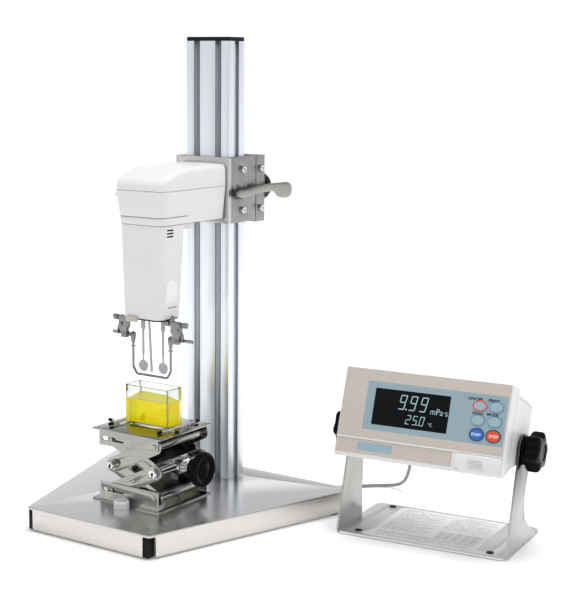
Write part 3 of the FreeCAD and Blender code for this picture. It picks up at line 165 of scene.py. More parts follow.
MAT["black_rubber"] = new_mat("black_rubber_m", (0.022, 0.022, 0.022), rough=0.7, bump=(1500, 0.25, 0.0001), rough_var=(300, 0.6, 0.8))
MAT["cable_grey"] = new_mat("cable_grey_m", (0.27, 0.27, 0.262), rough=0.5, bump=(1500, 0.10, 0.00006), rough_var=(300, 0.42, 0.58), tint_var=(60, (0.25, 0.25, 0.242)))
MAT["lever_grey"] = new_mat("lever_grey_m", (0.36, 0.352, 0.332), metallic=0.8, rough=0.27, bump=(1500, 0.08, 0.00006), rough_var=(400, 0.28, 0.42), tint_var=(50, (0.33, 0.322, 0.302)))
MAT["overlay_beige"] = new_mat("overlay_beige_m", (0.54, 0.485, 0.44), rough=0.42, bump=(3500, 0.05, 0.00003), rough_var=(500, 0.38, 0.47), tint_var=(40, (0.55, 0.485, 0.435)))
MAT["overlay_blue"] = new_mat("overlay_blue_m", (0.285, 0.385, 0.425), rough=0.42, bump=(3500, 0.05, 0.00003), rough_var=(500, 0.38, 0.47), tint_var=(40, (0.275, 0.375, 0.415)))
MAT["overlay_tag"] = new_mat("overlay_tag_m", (0.29, 0.42, 0.49), rough=0.42, bump=(3500, 0.05, 0.00003), rough_var=(500, 0.38, 0.47))
MAT["window_black"] = new_mat("window_black_m", (0.0068, 0.0070, 0.0082), rough=0.4, spec=0.05, rough_var=(250, 0.36, 0.46))
MAT["digit_lit"] = new_mat("digit_lit_m", (0.22, 0.36, 0.38), rough=0.4, emit=(0.36, 0.60, 0.64), emit_s=0.40, tint_var=(900, (0.28, 0.40, 0.42)))
MAT["digit_dim"] = new_mat("digit_dim_m", (0.018, 0.022, 0.026), rough=0.3, tint_var=(900, (0.016, 0.02, 0.024)))
MAT["circuit_board"] = new_mat("circuit_board_m", (0.02, 0.14, 0.06), rough=0.35, bump=(500, 0.2, 0.0001), tint_var=(400, (0.03, 0.19, 0.08)))
MAT["key_beige"] = new_mat("key_pale_m", (0.40, 0.50, 0.545), rough=0.36, bump=(2500, 0.05, 0.00003), rough_var=(500, 0.32, 0.42))
MAT["key_blue"] = new_mat("key_blue_m", (0.022, 0.145, 0.50), rough=0.32, coat=0.2, bump=(2500, 0.05, 0.00003), rough_var=(500, 0.28, 0.38))
MAT["key_red"] = new_mat("key_red_m", (0.74, 0.075, 0.018), rough=0.32, coat=0.2, bump=(2500, 0.05, 0.00003), rough_var=(500, 0.28, 0.38))
MAT["ring_red"] = new_mat("ring_red_m", (0.68, 0.05, 0.045), rough=0.36, rough_var=(500, 0.32, 0.42))
MAT["ring_blue"] = new_mat("ring_blue_m", (0.09, 0.27, 0.50), rough=0.36, rough_var=(500, 0.32, 0.42))
MAT["print_dark"] = new_mat("print_dark_m", (0.012, 0.014, 0.025), rough=0.45, rough_var=(500, 0.4, 0.5))
MAT["print_white"] = new_mat("print_white_m", (0.80, 0.82, 0.83), rough=0.45, rough_var=(500, 0.4, 0.5))
MAT["paper"] = new_mat("paper_m", (0.93, 0.93, 0.925), rough=0.4, coat=0.1, coat_rough=0.2, bump=(900, 0.06, 0.0001), tint_var=(90, (0.88, 0.88, 0.875)))
MAT["paper_ink"] = new_mat("paper_ink_m", (0.22, 0.22, 0.23), rough=0.5, tint_var=(700, (0.34, 0.34, 0.35)))
MAT["beige_tab"] = new_mat("beige_tab_m", (0.52, 0.48, 0.40), rough=0.45, bump=(1500, 0.1, 0.00006), rough_var=(400, 0.4, 0.5))
MAT["level_lens"] = new_mat("level_lens_m", (0.80, 0.86, 0.80), rough=0.06, trans=0.55, ior=1.45, rough_var=(300, 0.04, 0.08))
MAT["brass"] = new_mat("brass_m", (0.62, 0.47, 0.22), metallic=1.0, rough=0.28, rough_var=(400, 0.2, 0.36), bump=(900, 0.06, 0.00004))
MAT["clear_plastic"] = new_mat("clear_plastic_m", (0.93, 0.965, 0.94), rough=0.015, trans=1.0, ior=1.22, rough_var=(200, 0.01, 0.03))
MAT["clear_edge"] = new_mat("clear_edge_m", (0.46, 0.49, 0.48), rough=0.12, trans=0.7, ior=1.25, rough_var=(200, 0.08, 0.16))
# the clear plastic darkens towards grazing angles: painted dark edges
n_, l_ = nodes_of(MAT["clear_plastic"])
lw_ = n_.new("ShaderNodeLayerWeight")
lw_.inputs["Blend"].default_value = 0.28
cr_ = n_.new("ShaderNodeValToRGB")
cr_.color_ramp.elements[0].position, cr_.color_ramp.elements[0].color = 0.30, (0.88, 0.90, 0.885, 1)
cr_.color_ramp.elements[1].position, cr_.color_ramp.elements[1].color = 0.90, (0.30, 0.33, 0.32, 1)
l_.new(lw_.outputs["Facing"], cr_.inputs["Fac"])
l_.new(cr_.outputs["Color"], n_["Principled BSDF"].inputs["Base Color"])
# the liquid emits light in its own colour: painted glow
MAT["liquid"] = new_mat("liquid_m", (0.95, 0.84, 0.0), rough=0.03, trans=0.5, ior=1.33, emit=(0.98, 0.84, 0.0), emit_s=0.24, rough_var=(120, 0.02, 0.06))
n_, l_ = nodes_of(MAT["liquid"])
tc_, mp_, ns_, cr_ = n_.new("ShaderNodeTexCoord"), n_.new("ShaderNodeMapping"), n_.new("ShaderNodeTexNoise"), n_.new("ShaderNodeValToRGB")
mp_.inputs["Scale"].default_value = (1.0, 1.0, 1.9)
ns_.inputs["Scale"].default_value = 62
ns_.inputs["Detail"].default_value = 4.0
ns_.inputs["Distortion"].default_value = 1.2
cr_.color_ramp.elements[0].position, cr_.color_ramp.elements[0].color = 0.34, (0.86, 0.88, 0.0, 1)
cr_.color_ramp.elements[1].position, cr_.color_ramp.elements[1].color = 0.68, (0.96, 0.62, 0.0, 1)
e_ = cr_.color_ramp.elements.new(0.5)
e_.color = (0.94, 0.81, 0.0, 1)
l_.new(tc_.outputs["Object"], mp_.inputs["Vector"])
l_.new(mp_.outputs["Vector"], ns_.inputs["Vector"])
l_.new(ns_.outputs["Fac"], cr_.inputs["Fac"])
l_.new(cr_.outputs["Color"], n_["Principled BSDF"].inputs["Base Color"])
l_.new(cr_.outputs["Color"], n_["Principled BSDF"].inputs["Emission Color"])


# ---------------------------------------------------------------- mesh helpers
def finish_mesh(bm, name, body, mat, replaces=(), sharp=32.0, bevel=None, bevel_angle=30.0):
    """Bevels edges sharper than bevel_angle, smooths faces, keeps edges over sharp degrees crisp, and makes the object ride."""
    bmesh.ops.remove_doubles(bm, verts=bm.verts, dist=2e-6)
    bmesh.ops.recalc_face_normals(bm, faces=bm.faces)
    if bevel:
        ed = [e for e in bm.edges if len(e.link_faces) == 2 and e.calc_face_angle(0) > math.radians(bevel_angle)]
        if ed:
            bmesh.ops.bevel(bm, geom=ed, offset=bevel[0] / 1000, segments=bevel[1], profile=0.5, affect="EDGES", clamp_overlap=True)
    for f in bm.faces:
        f.smooth = True
    for e in bm.edges:
        if len(e.link_faces) == 2 and e.calc_face_angle(0) > math.radians(sharp):
            e.smooth = False
    me = bpy.data.meshes.new(name)
    bm.to_mesh(me)
    bm.free()
    ob = bpy.data.objects.new(name, me)
    bpy.context.scene.collection.objects.link(ob)
    mats = mat if isinstance(mat, (list, tuple)) else [mat]
    for m in mats:
        me.materials.append(MAT[m] if isinstance(m, str) else m)
    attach(ob, body)
    if replaces:
        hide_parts(*replaces)
    return ob


def bm_new():
    return bmesh.new()


def add_faces(bm, M, verts, faces, mat_index=0):
    vs = [bm.verts.new(M @ Vector(v)) for v in verts]
    for f in faces:
        try:
            nf = bm.faces.new([vs[i] for i in f])
            nf.material_index = mat_index
        except ValueError:
            pass
    return vs


def add_prism(bm, M, pts, axis, a, b, mi=0):
    """Closed polygon pts in the other two axes, extruded along axis from a to b."""
    n = len(pts)
    def v3(p, t):
        if axis == "x":
            return (t, p[0], p[1])
        if axis == "y":
            return (p[0], t, p[1])
        return (p[0], p[1], t)
    verts = [v3(p, a) for p in pts] + [v3(p, b) for p in pts]
    faces = [tuple(range(n))[::-1], tuple(range(n, 2 * n))]
    faces += [(i, (i + 1) % n, n + (i + 1) % n, n + i) for i in range(n)]
    return add_faces(bm, M, verts, faces, mi)


def add_box(bm, M, x0, y0, z0, x1, y1, z1, mi=0):
    return add_prism(bm, M, [(x0, y0), (x1, y0), (x1, y1), (x0, y1)], "z", z0, z1, mi)


def rrect(cx, cy, hx, hy, r, n=6):
    pts = []
    for sx, sy, a0 in ((1, 1, 0), (-1, 1, 90), (-1, -1, 180), (1, -1, 270)):
        for k in range(n + 1):
            a = math.radians(a0 + 90 * k / n)
            pts.append((cx + sx * (hx - r) + r * math.cos(a), cy + sy * (hy - r) + r * math.sin(a)))
    return pts


def circle(cx, cy, r, n=32, start=0.0):
    return [(cx + r * math.cos(start + 2 * math.pi * k / n), cy + r * math.sin(start + 2 * math.pi * k / n)) for k in range(n)]


def add_loft(bm, M, rings, cap0=True, cap1=True, mi=0, closed=True):
    """Skin over rings of equal length, each a list of (x, y, z)."""
    vs = [[bm.verts.new(M @ Vector(p)) for p in ring] for ring in rings]
    n = len(rings[0])
    for a, b in zip(vs, vs[1:]):
        for i in range(n if closed else n - 1):
            j = (i + 1) % n
            f = bm.faces.new((a[i], a[j], b[j], b[i]))
            f.material_index = mi
    if cap0:
        f = bm.faces.new(vs[0][::-1]); f.material_index = mi
    if cap1:
        f = bm.faces.new(vs[-1]); f.material_index = mi
    return vs


def add_lathe(bm, M, profile, origin=(0, 0, 0), axis="z", n=40, mi=0, rfun=None):
    """Profile [(radius, along)] turned about an axis through origin. rfun(angle, radius, along) may change the radius."""
    rings = []
    for r, h in profile:
        ring = []
        for k in range(n):
            a = 2 * math.pi * k / n
            rr = rfun(a, r, h) if rfun else r
            c, s = rr * math.cos(a), rr * math.sin(a)
            if axis == "z":
                p = (c, s, h)
            elif axis == "x":
                p = (h, c, s)
            else:
                p = (s, h, c)
            ring.append(tuple(p[i] + origin[i] for i in range(3)))
        rings.append(ring)
    return add_loft(bm, M, rings, True, True, mi)


def add_tube(bm, M, pts, r, n=12, mi=0, caps=True):
    """Round wire along points, frames carried along."""
    P = [Vector(p) for p in pts]
    T = []
    for i in range(len(P)):
        a = P[max(i - 1, 0)]
        b = P[min(i + 1, len(P) - 1)]
        T.append((b - a).normalized())
    up = Vector((0, 0, 1)) if abs(T[0].z) < 0.9 else Vector((0, 1, 0))
    u = T[0].cross(up).normalized()
    rings = []
    for p, t in zip(P, T):
        u = (u - t * u.dot(t)).normalized()
        v = t.cross(u)
        rings.append([tuple(p + (u * math.cos(2 * math.pi * k / n) + v * math.sin(2 * math.pi * k / n)) * r) for k in range(n)])
    return add_loft(bm, M, rings, caps, caps, mi)


def bend_path(pts, r, steps=6):
    """Corner-rounded polyline for a bent wire."""
    P = [Vector(p) for p in pts]
    out = [P[0]]
    for a, b, c in zip(P, P[1:], P[2:]):
        u, w = (b - a).normalized(), (c - b).normalized()
        ang = u.angle(w)
        if ang < 1e-3:
            out.append(b)
            continue
        cut = min(r * math.tan(ang / 2), 0.48 * (b - a).length, 0.48 * (c - b).length)
        s, e = b - u * cut, b + w * cut
        for k in range(steps + 1):
            t = k / steps
            q = s * (1 - t) ** 2 + b * 2 * t * (1 - t) + e * t * t
            out.append(q)
    out.append(P[-1])
    return [tuple(p) for p in out]


def refine(node, body, mat, bevel=(0.35, 2), angle=28.0, slot=None, name=None, sharp=35.0):
    """A finished copy of a CAD piece: welded, planar faces joined, real edge radii, smooth curved faces."""
    src = frame["nodes"][node]
    bm = bmesh.new()
    bm.from_mesh(src.data)
    bm.transform(src.matrix_world)
    bmesh.ops.remove_doubles(bm, verts=bm.verts, dist=3e-6)
    bmesh.ops.dissolve_limit(bm, angle_limit=math.radians(0.6), verts=bm.verts, edges=bm.edges, delimit={"NORMAL"})
    slot = slot or [s["material_slot"] for s in frame["record"]["subparts"] if s["node"] == node][0]
    return finish_mesh(bm, name or node + "_fin", body, mat, (node,), sharp=sharp, bevel=bevel, bevel_angle=angle)


def cut(ob, cutter_bm):
    """Cuts a closed shape out of a piece and applies the result."""
    me = bpy.data.meshes.new("cutter")
    bmesh.ops.recalc_face_normals(cutter_bm, faces=cutter_bm.faces)
    cutter_bm.to_mesh(me)
    cutter_bm.free()
    c = bpy.data.objects.new("cutter", me)
    bpy.context.scene.collection.objects.link(c)
    m = ob.modifiers.new("cut", "BOOLEAN")
    m.operation = "DIFFERENCE"
    m.solver = "EXACT"
    m.object = c
    bpy.context.view_layer.update()
    dg = bpy.context.evaluated_depsgraph_get()
    res = bpy.data.meshes.new_from_object(ob.evaluated_get(dg))
    ob.modifiers.remove(m)
    if len(res.polygons) > 4:
        b2 = bmesh.new()
        b2.from_mesh(res)
        for f in b2.faces:
            f.smooth = True
        for e in b2.edges:
            if len(e.link_faces) == 2:
                e.smooth = e.calc_face_angle(0) < math.radians(30)
        b2.to_mesh(res)
        b2.free()
        ob.data = res
    bpy.data.objects.remove(c)


def smooth01(t):
    t = max(0.0, min(1.0, t))
    return t * t * (3 - 2 * t)


def interp(table, x):
    for (x0, v0), (x1, v1) in zip(table, table[1:]):
        if x <= x1:
            t = (x - x0) / (x1 - x0) if x1 > x0 else 0
            return v0 + (v1 - v0) * max(0, min(1, t))
    return table[-1][1]


# ---------------------------------------------------------------- camera
f_px, pitch, yaw, roll = 1428.1, math.radians(9.417), math.radians(33.897), math.radians(0.529)
cp, sp = math.cos(pitch), math.sin(pitch)
d = Vector((-math.sin(yaw) * cp, math.cos(yaw) * cp, -sp))
r0 = Vector((math.cos(yaw), math.sin(yaw), 0))
u0 = r0.cross(d)
Rv = r0 * math.cos(roll) + u0 * math.sin(roll)
Uv = u0 * math.cos(roll) - r0 * math.sin(roll)
cam_data = bpy.data.cameras.new("camera")
cam_data.sensor_fit = "AUTO"
cam_data.sensor_width = 36.0
cam_data.lens = f_px * 36.0 / 600.0
cam_data.clip_start = 0.01
cam_data.clip_end = 100.0
cam = bpy.data.objects.new("camera", cam_data)
bpy.context.scene.collection.objects.link(cam)
cam.matrix_world = Matrix.Translation(G @ Vector((984.0, -1305.5, 507.5))) @ Matrix((
    (Rv.x, Uv.x, -d.x, 0), (Rv.y, Uv.y, -d.y, 0), (Rv.z, Uv.z, -d.z, 0), (0, 0, 0, 1)))
bpy.context.scene.camera = cam

# ---------------------------------------------------------------- cable
def spline_obj(name, pts, radius):
    cu = bpy.data.curves.new(name, "CURVE")
    cu.dimensions = "3D"
    sp_ = cu.splines.new("NURBS")
    sp_.points.add(len(pts) - 1)
    for p, q in zip(sp_.points, pts):
        p.co = (*q, 1.0)
    sp_.order_u = 3
    sp_.use_endpoint_u = True
    sp_.resolution_u = 10
    cu.bevel_depth = 0.0
    ob = bpy.data.objects.new(name, cu)
    bpy.context.scene.collection.objects.link(ob)
    dg = bpy.context.evaluated_depsgraph_get()
    me = bpy.data.meshes.new_from_object(ob.evaluated_get(dg))
    path = [tuple(v.co) for v in me.vertices]
    bpy.data.objects.remove(ob)
    clean = [path[0]]
    for p in path[1:]:
        if (Vector(p) - Vector(clean[-1])).length > 0.0004:
            clean.append(p)
    return clean


def dpt(x, w, v):
    return tuple(DU @ Vector((x, w, v)))


def spt(x, y, z):
    return tuple(G @ Vector((x, y, z)))


CABLE_R = 0.002
low_pts = [dpt(-52, 107.05, 0), dpt(-52, 117.0, 0), spt(224.0, 106.5, 99.5), spt(217.5, 109.0, 79.0), spt(211.0, 115.0, 61.0), spt(203.5, 125.0, 43.5),
           spt(194.0, 137.5, 27.5), spt(183.0, 149.5, 14.0), spt(169.0, 157.5, 5.0), spt(153.0, 156.5, 2.1), spt(138.0, 145.0, 2.0),
           spt(124.0, 129.0, 2.0), spt(108.0, 114.0, 2.0), spt(89.0, 101.0, 2.0), spt(64.0, 89.5, 2.0), spt(36.0, 79.5, 2.0), spt(8.0, 72.5, 2.0),
           spt(-16.0, 64.5, 2.0), spt(-35.0, 60.0, 2.0)]
# the put-away turns: in at the front on the floor, round four times, out at the right on top
turns = []
TURN_R = [(24.0, 2.05), (19.9, 2.05), (19.9, 6.1), (24.0, 6.1)]
start_a = math.radians(-52)
total = 3.70 * 2 * math.pi
steps = 50
for k in range(steps + 1):
    t = k / steps
    ang = start_a - total * t
    q = t * 3.70
    i = min(int(q), 3)
    fr = q - i
    ra, za = TURN_R[i]
    rb, zb = TURN_R[min(i + 1, 3)]
    s_ = smooth01((fr - 0.62) / 0.38)
    rad = ra + (rb - ra) * s_ + 0.35 * math.sin(5.1 * ang)
    zz = za + (zb - za) * s_
    turns.append(spt(-50 + rad / math.cos(math.pi / 14) * math.cos(ang), 84 + rad / math.cos(math.pi / 14) * math.sin(ang), zz))
up_pts = [spt(-35.0, 60.0, 2.0)] + turns[1:] + [spt(-24.1, 88.0, 6.1), spt(-12.0, 82.0, 11.5), spt(-5.0, 70.0, 21.0), spt(-6.0, 60.5, 35.0),
          spt(-10.0, 51.0, 48.0), spt(-13.4, 41.5, 60.0), spt(-15.0, 35.0, 77.0), spt(-15.2, 34.3, 101.0), spt(-14.9, 34.5, 130.0),
          spt(-15.1, 34.4, 156.0), spt(-15.0, 34.5, 178.0)]
loop_pts = [spt(-15.0, 34.5, 178.0), spt(-15.3, 34.9, 198.0), spt(-15.0, 34.6, 217.9), spt(-22.0, 46.7, 232.0), spt(-32.0, 63.9, 232.0),
            spt(-39.0, 76.1, 217.9), spt(-40.1, 77.8, 199.5), spt(-40.4, 77.3, 182.0), spt(-40.0, 77.8, 165.1), spt(-47.0, 90.0, 151.0),
            spt(-57.0, 107.2, 151.0), spt(-64.0, 119.4, 165.1), spt(-64.8, 120.8, 186.0), spt(-64.2, 119.6, 210.0), spt(-63.5, 118.8, 237.0),
            spt(-60.5, 119.6, 264.0), spt(-51.5, 122.5, 289.0), spt(-41.0, 125.0, 311.0), spt(-30.0, 124.0, 329.0), spt(-24.5, 117.5, 343.0),
            spt(-22.0, 106.5, 350.0), spt(-22.0, 94.05, 350.0)]
ID4 = Matrix.Identity(4)


def cable_piece(name, path, node_names):
    bm = bm_new()
    add_tube(bm, ID4, path, CABLE_R, n=14)
    ob = finish_mesh(bm, name, "root", "cable_grey", node_names, sharp=50)
    return ob


path_low = spline_obj("route_low", low_pts, CABLE_R)
path_up = spline_obj("route_up", up_pts, CABLE_R)
path_loop = spline_obj("route_loop", loop_pts, CABLE_R)
c_up = cable_piece("cable_coiled", path_up, ("cable_coil", "cable_riser"))


def blended_cable(name, path, nodes_):
    bm = bm_new()
    add_tube(bm, ID4, path, CABLE_R, n=14)
    bmesh.ops.recalc_face_normals(bm, faces=bm.faces)
    for f in bm.faces:
        f.smooth = True
    me = bpy.data.meshes.new(name)
    bm.to_mesh(me)
    bm.free()
    me.materials.append(MAT["cable_grey"])
    ob = bpy.data.objects.new(name, me)
    bpy.context.scene.collection.objects.link(ob)
    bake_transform(ob)
    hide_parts(*nodes_)
    return ob


c_low = blended_cable("cable_to_display", path_low, ("cable_lower",))
c_loop = blended_cable("cable_to_head", path_loop, ("cable_loop",))

# a tie round the put-away turns
bm = bm_new()
tie = [(-50 + 21.9 + 5.6 * math.cos(a), 84, 5.35 + 5.0 * math.sin(a)) for a in [2 * math.pi * k / 20 for k in range(20)]]
ring_o = [(x, 82.6, z) for x, _, z in tie]
ring_o2 = [(x, 85.4, z) for x, _, z in tie]
inn = [(-50 + 21.9 + (x + 28.1) * 0.86, 82.6, 5.35 + (z - 5.35) * 0.86) for x, _, z in tie]
inn2 = [(x, 85.4, z) for x, _, z in inn]
add_loft(bm, G, [ring_o, ring_o2, inn2, inn, ring_o], False, False)
finish_mesh(bm, "cable_tie", "root", "black_plastic")


# ---------------------------------------------------------------- more materials for single faces, several of them lit and shaded copies of one metal (painted light and shade)
# the two base materials are one brushed steel: a lit copy for the upward faces and a darker, warmer shaded copy for the
# rim, painted light and shade; the brushing follows each face
MAT["base_top"] = new_mat("base_top_m", (0.94, 0.933, 0.92), metallic=1.0, rough=0.23, bump=(1.0, 0.09, 0.00004), rough_var=(1.0, 0.19, 0.27),
                          tint_var=(0.8, (0.87, 0.86, 0.85)), stretch=(16, 2600, 60))
MAT["base_rim_shaded"] = new_mat("base_rim_shaded_m", (0.71, 0.685, 0.65), metallic=1.0, rough=0.3, bump=(1.0, 0.12, 0.00005), rough_var=(1.0, 0.26, 0.38),
                          tint_var=(0.8, (0.64, 0.615, 0.58)), stretch=(16, 16, 2600))
# a darker copy of the bracket steel for the uprights and the sideways faces of the same sheet: painted shade
MAT["bracket_shaded_steel"] = new_mat("bracket_shaded_steel_m", (0.42, 0.413, 0.40), metallic=1.0, rough=0.24, bump=(1.0, 0.12, 0.00004), rough_var=(1.0, 0.18, 0.30),
                               tint_var=(0.8, (0.38, 0.373, 0.36)), stretch=(1800, 1800, 24))
# right upright: the same steel darkening towards the top by height in object space, a painted shadow of the knob
MAT["upright_painted_shadow"] = new_mat("upright_painted_shadow_m", (0.42, 0.413, 0.40), metallic=1.0, rough=0.24, bump=(1.0, 0.12, 0.00004), rough_var=(1.0, 0.18, 0.30), stretch=(1800, 1800, 24))
n_, l_ = nodes_of(MAT["upright_painted_shadow"])
tc_, sp_, mr_, cr_ = n_.new("ShaderNodeTexCoord"), n_.new("ShaderNodeSeparateXYZ"), n_.new("ShaderNodeMapRange"), n_.new("ShaderNodeValToRGB")
mr_.inputs["From Min"].default_value = 0.050
mr_.inputs["From Max"].default_value = 0.092
cr_.color_ramp.elements[0].color = (0.44, 0.433, 0.42, 1)
cr_.color_ramp.elements[1].color = (0.13, 0.13, 0.135, 1)
l_.new(tc_.outputs["Object"], sp_.inputs["Vector"])
l_.new(sp_.outputs["Z"], mr_.inputs["Value"])
l_.new(mr_.outputs["Result"], cr_.inputs["Fac"])
l_.new(cr_.outputs["Color"], n_["Principled BSDF"].inputs["Base Color"])
MAT["slot_shade"] = new_mat("slot_shade_m", (0.58, 0.60, 0.645), metallic=0.85, rough=0.4, bump=(1.0, 0.12, 0.00004), rough_var=(1.0, 0.34, 0.48), stretch=(2400, 2400, 12))
MAT["jack_web"] = new_mat("jack_web_m", (0.56, 0.545, 0.515), metallic=1.0, rough=0.16, bump=(1.0, 0.08, 0.00003), rough_var=(1.0, 0.12, 0.22),
                          tint_var=(0.8, (0.51, 0.495, 0.465)), stretch=(1400, 50, 1400))
# near black used as painted shade in gaps, holes and slots, and as the real colour of the black rubber grommets
MAT["gap_shade_and_black_rubber"] = new_mat("gap_shade_and_black_rubber_m", (0.012, 0.012, 0.012), rough=0.8, rough_var=(300, 0.7, 0.9))

BODY_OF = {}
for b_, members in frame["record"]["behaviour"]["bodies"].items():
    for n_ in members:
        BODY_OF[n_] = b_
SLOT_OF = {s["node"]: s["material_slot"] for s in frame["record"]["subparts"]}


def paint(ob, M, fn):
    inv = M.inverted()
    rot = inv.to_3x3()
    for p in ob.data.polygons:
        c = inv @ p.center
        n = (rot @ p.normal).normalized()
        p.material_index = fn(c, n)


def cad(node, mats=None, bevel=(0.3, 2), angle=28.0, sharp=35.0, fn=None, M=G, slot=None):
    ob = refine(node, BODY_OF[node], mats or SLOT_OF[node], bevel, angle, slot or SLOT_OF[node], node + "_fin", sharp)
    if fn:
        paint(ob, M, fn)
    return ob


def piece(bm, name, node=None, mat=None, body=None, replaces=(), bevel=None, bevel_angle=30.0, sharp=32.0, slot=None):
    body = body or BODY_OF[node]
    slot = slot or (SLOT_OF[node] if node else None)
    return finish_mesh(bm, name, body, mat or slot, replaces, sharp, bevel, bevel_angle)


def bevel_some(bm, test, offset, seg):
    """Bevels the edges that test(edge) picks, by offset in millimetres."""
    bmesh.ops.recalc_face_normals(bm, faces=bm.faces)
    ed = [e for e in bm.edges if len(e.link_faces) == 2 and test(e)]
    if ed:
        bmesh.ops.bevel(bm, geom=ed, offset=offset / 1000, segments=seg, profile=0.5, affect="EDGES", clamp_overlap=True)


def text_piece(name, body, s, size, M, x, w, v, mat, depth=0.06, align="CENTER", shear=0.0, squeeze=1.0, fit=None, bold=0.0):
    """Raised print: flat lettering standing on a face whose outward direction is -w."""
    cu = bpy.data.curves.new(name, "FONT")
    cu.body = s
    cu.size = size / 1000
    cu.align_x = align
    cu.align_y = "CENTER"
    cu.extrude = depth / 2000
    cu.shear = shear
    cu.resolution_u = 3
    cu.offset = bold / 1000
    t = bpy.data.objects.new(name + "_c", cu)
    bpy.context.scene.collection.objects.link(t)
    dg = bpy.context.evaluated_depsgraph_get()
    me = bpy.data.meshes.new_from_object(t.evaluated_get(dg))
    bpy.data.objects.remove(t)
    if fit:
        xs_, ys_ = [q.co.x for q in me.vertices], [q.co.y for q in me.vertices]
        cx_, cy_ = (min(xs_) + max(xs_)) / 2, (min(ys_) + max(ys_)) / 2
        kx_, ky_ = fit[0] / 1000 / (max(xs_) - min(xs_)), fit[1] / 1000 / (max(ys_) - min(ys_))
        me.transform(Matrix.Diagonal((kx_, ky_, 1, 1)) @ Matrix.Translation((-cx_, -cy_, 0)))
    K = M @ Matrix.Translation((x, w, v)) @ Matrix.Rotation(math.radians(90), 4, "X") @ Matrix.Scale(1000, 4) @ Matrix.Diagonal((squeeze, 1, 1, 1))
    me.transform(K)
    me.materials.clear()
    me.materials.append(MAT[mat])
    ob = bpy.data.objects.new(name, me)
    bpy.context.scene.collection.objects.link(ob)
    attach(ob, body)
    return ob


def add_cap_screw(bm, M, o, axis, sgn, r=3.9, h=4.0, hexr=1.95, mi=0, mi_in=1):
    """Socket head screw: knurled rim, chamfered crown and a hexagonal socket."""
    def rf(a, rr, hh):
        if rr < hexr * 1.02:
            return rr / math.cos((a % (math.pi / 3)) - math.pi / 6) * math.cos(math.pi / 6)
        if rr > r * 0.97 and 0.5 < abs(hh) < h - 0.9:
            return rr - 0.09 * (1 + math.cos(24 * a))
        return rr
    prof = [(0.02, sgn * (h - 2.2)), (hexr, sgn * (h - 2.2)), (hexr, sgn * (h - 0.15)), (hexr + 0.25, sgn * h), (r - 0.75, sgn * h), (r - 0.2, sgn * (h - 0.35)),
            (r, sgn * (h - 0.8)), (r, sgn * 0.35), (r - 0.25, 0.0), (0.02, 0.0)]
    vs = add_lathe(bm, M, prof, o, axis, n=48, rfun=rf, mi=mi)
    return vs


# ================================================================ base
# upward faces take the lit copy and every other face the shaded copy: painted light and shade by facing direction
def base_fn(c, n):
    return 0 if n.z > 0.7 else 1


cad("base_plate", ["base_top", "base_rim_shaded"], bevel=(0.25, 2), fn=base_fn)
cad("base_hardware", ["black_plastic"], bevel=(0.5, 2))
for ft in ("foot_front", "foot_left", "foot_right"):
    cad(ft, bevel=(0.25, 1))


# ================================================================ column
# faces inside the slots take the slot shade, a darker copy of the anodised finish: painted shade in the slots
def col_fn(c, n):
    x, y = abs(c.x), c.y - 15
    if x < 29.6 and abs(y) < 14.6:
        return 1
    return 0


cad("column", ["anodised", "slot_shade"], bevel=(0.35, 2), fn=col_fn)
cad("column_cap", bevel=(0.6, 3))
# fine grooves beside every slot, as on drawn profiles, drawn as flush strips in the slot shade: painted shade in the
# grooves
bm = bm_new()
for sx in (-1, 1):
    for off in (-6.1, 6.1):
        for yf, sg in ((0.0, -1), (30.0, 1)):
            add_prism(bm, G, [(sx * 15 + off - 0.22, yf + sg * 0.02), (sx * 15 + off + 0.22, yf + sg * 0.02), (sx * 15 + off + 0.22, yf - sg * 0.2),
                              (sx * 15 + off - 0.22, yf - sg * 0.2)], "z", 27.2, 531.2)
    for off in (-6.1, 6.1):
        a, b = sorted((sx * 30.02, sx * 29.8))
        add_prism(bm, G, [(a, 15 + off - 0.22), (b, 15 + off - 0.22), (b, 15 + off + 0.22), (a, 15 + off + 0.22)], "z", 27.2, 531.2)
piece(bm, "column_lines", mat="slot_shade", body="root", slot="anodised")

# spirit level: white cup with a clear lens
bm = bm_new()
add_lathe(bm, G, [(0.02, 26.5), (8.2, 26.5), (8.6, 26.9), (8.6, 33.0), (8.4, 34.1), (7.9, 34.8), (7.2, 35.25), (6.7, 35.35), (6.4, 35.15), (6.3, 34.7), (0.02, 34.7)],
          (1.5, -157.4, 0), "z", 48)
piece(bm, "level_housing", "spirit_level", replaces=("spirit_level",))
bm = bm_new()
add_lathe(bm, G, [(0.02, 34.55), (6.25, 34.6), (6.25, 34.95), (4.5, 35.2), (2.5, 35.33), (0.02, 35.36)], (1.5, -157.4, 0), "z", 40)
piece(bm, "level_lens", "spirit_level", mat="level_lens")

# ================================================================ carriage
cad("carriage_front_plate", ["front_steel"], bevel=(0.4, 2))
cad("carriage_side_plates", ["stainless_plate"], bevel=(0.35, 2))


def rear_fn(c, n):
    return 1 if c.y > 61.05 else 0


cad("carriage_rear_block", ["stainless_plate", "black_plastic"], bevel=(0.4, 2), fn=rear_fn)
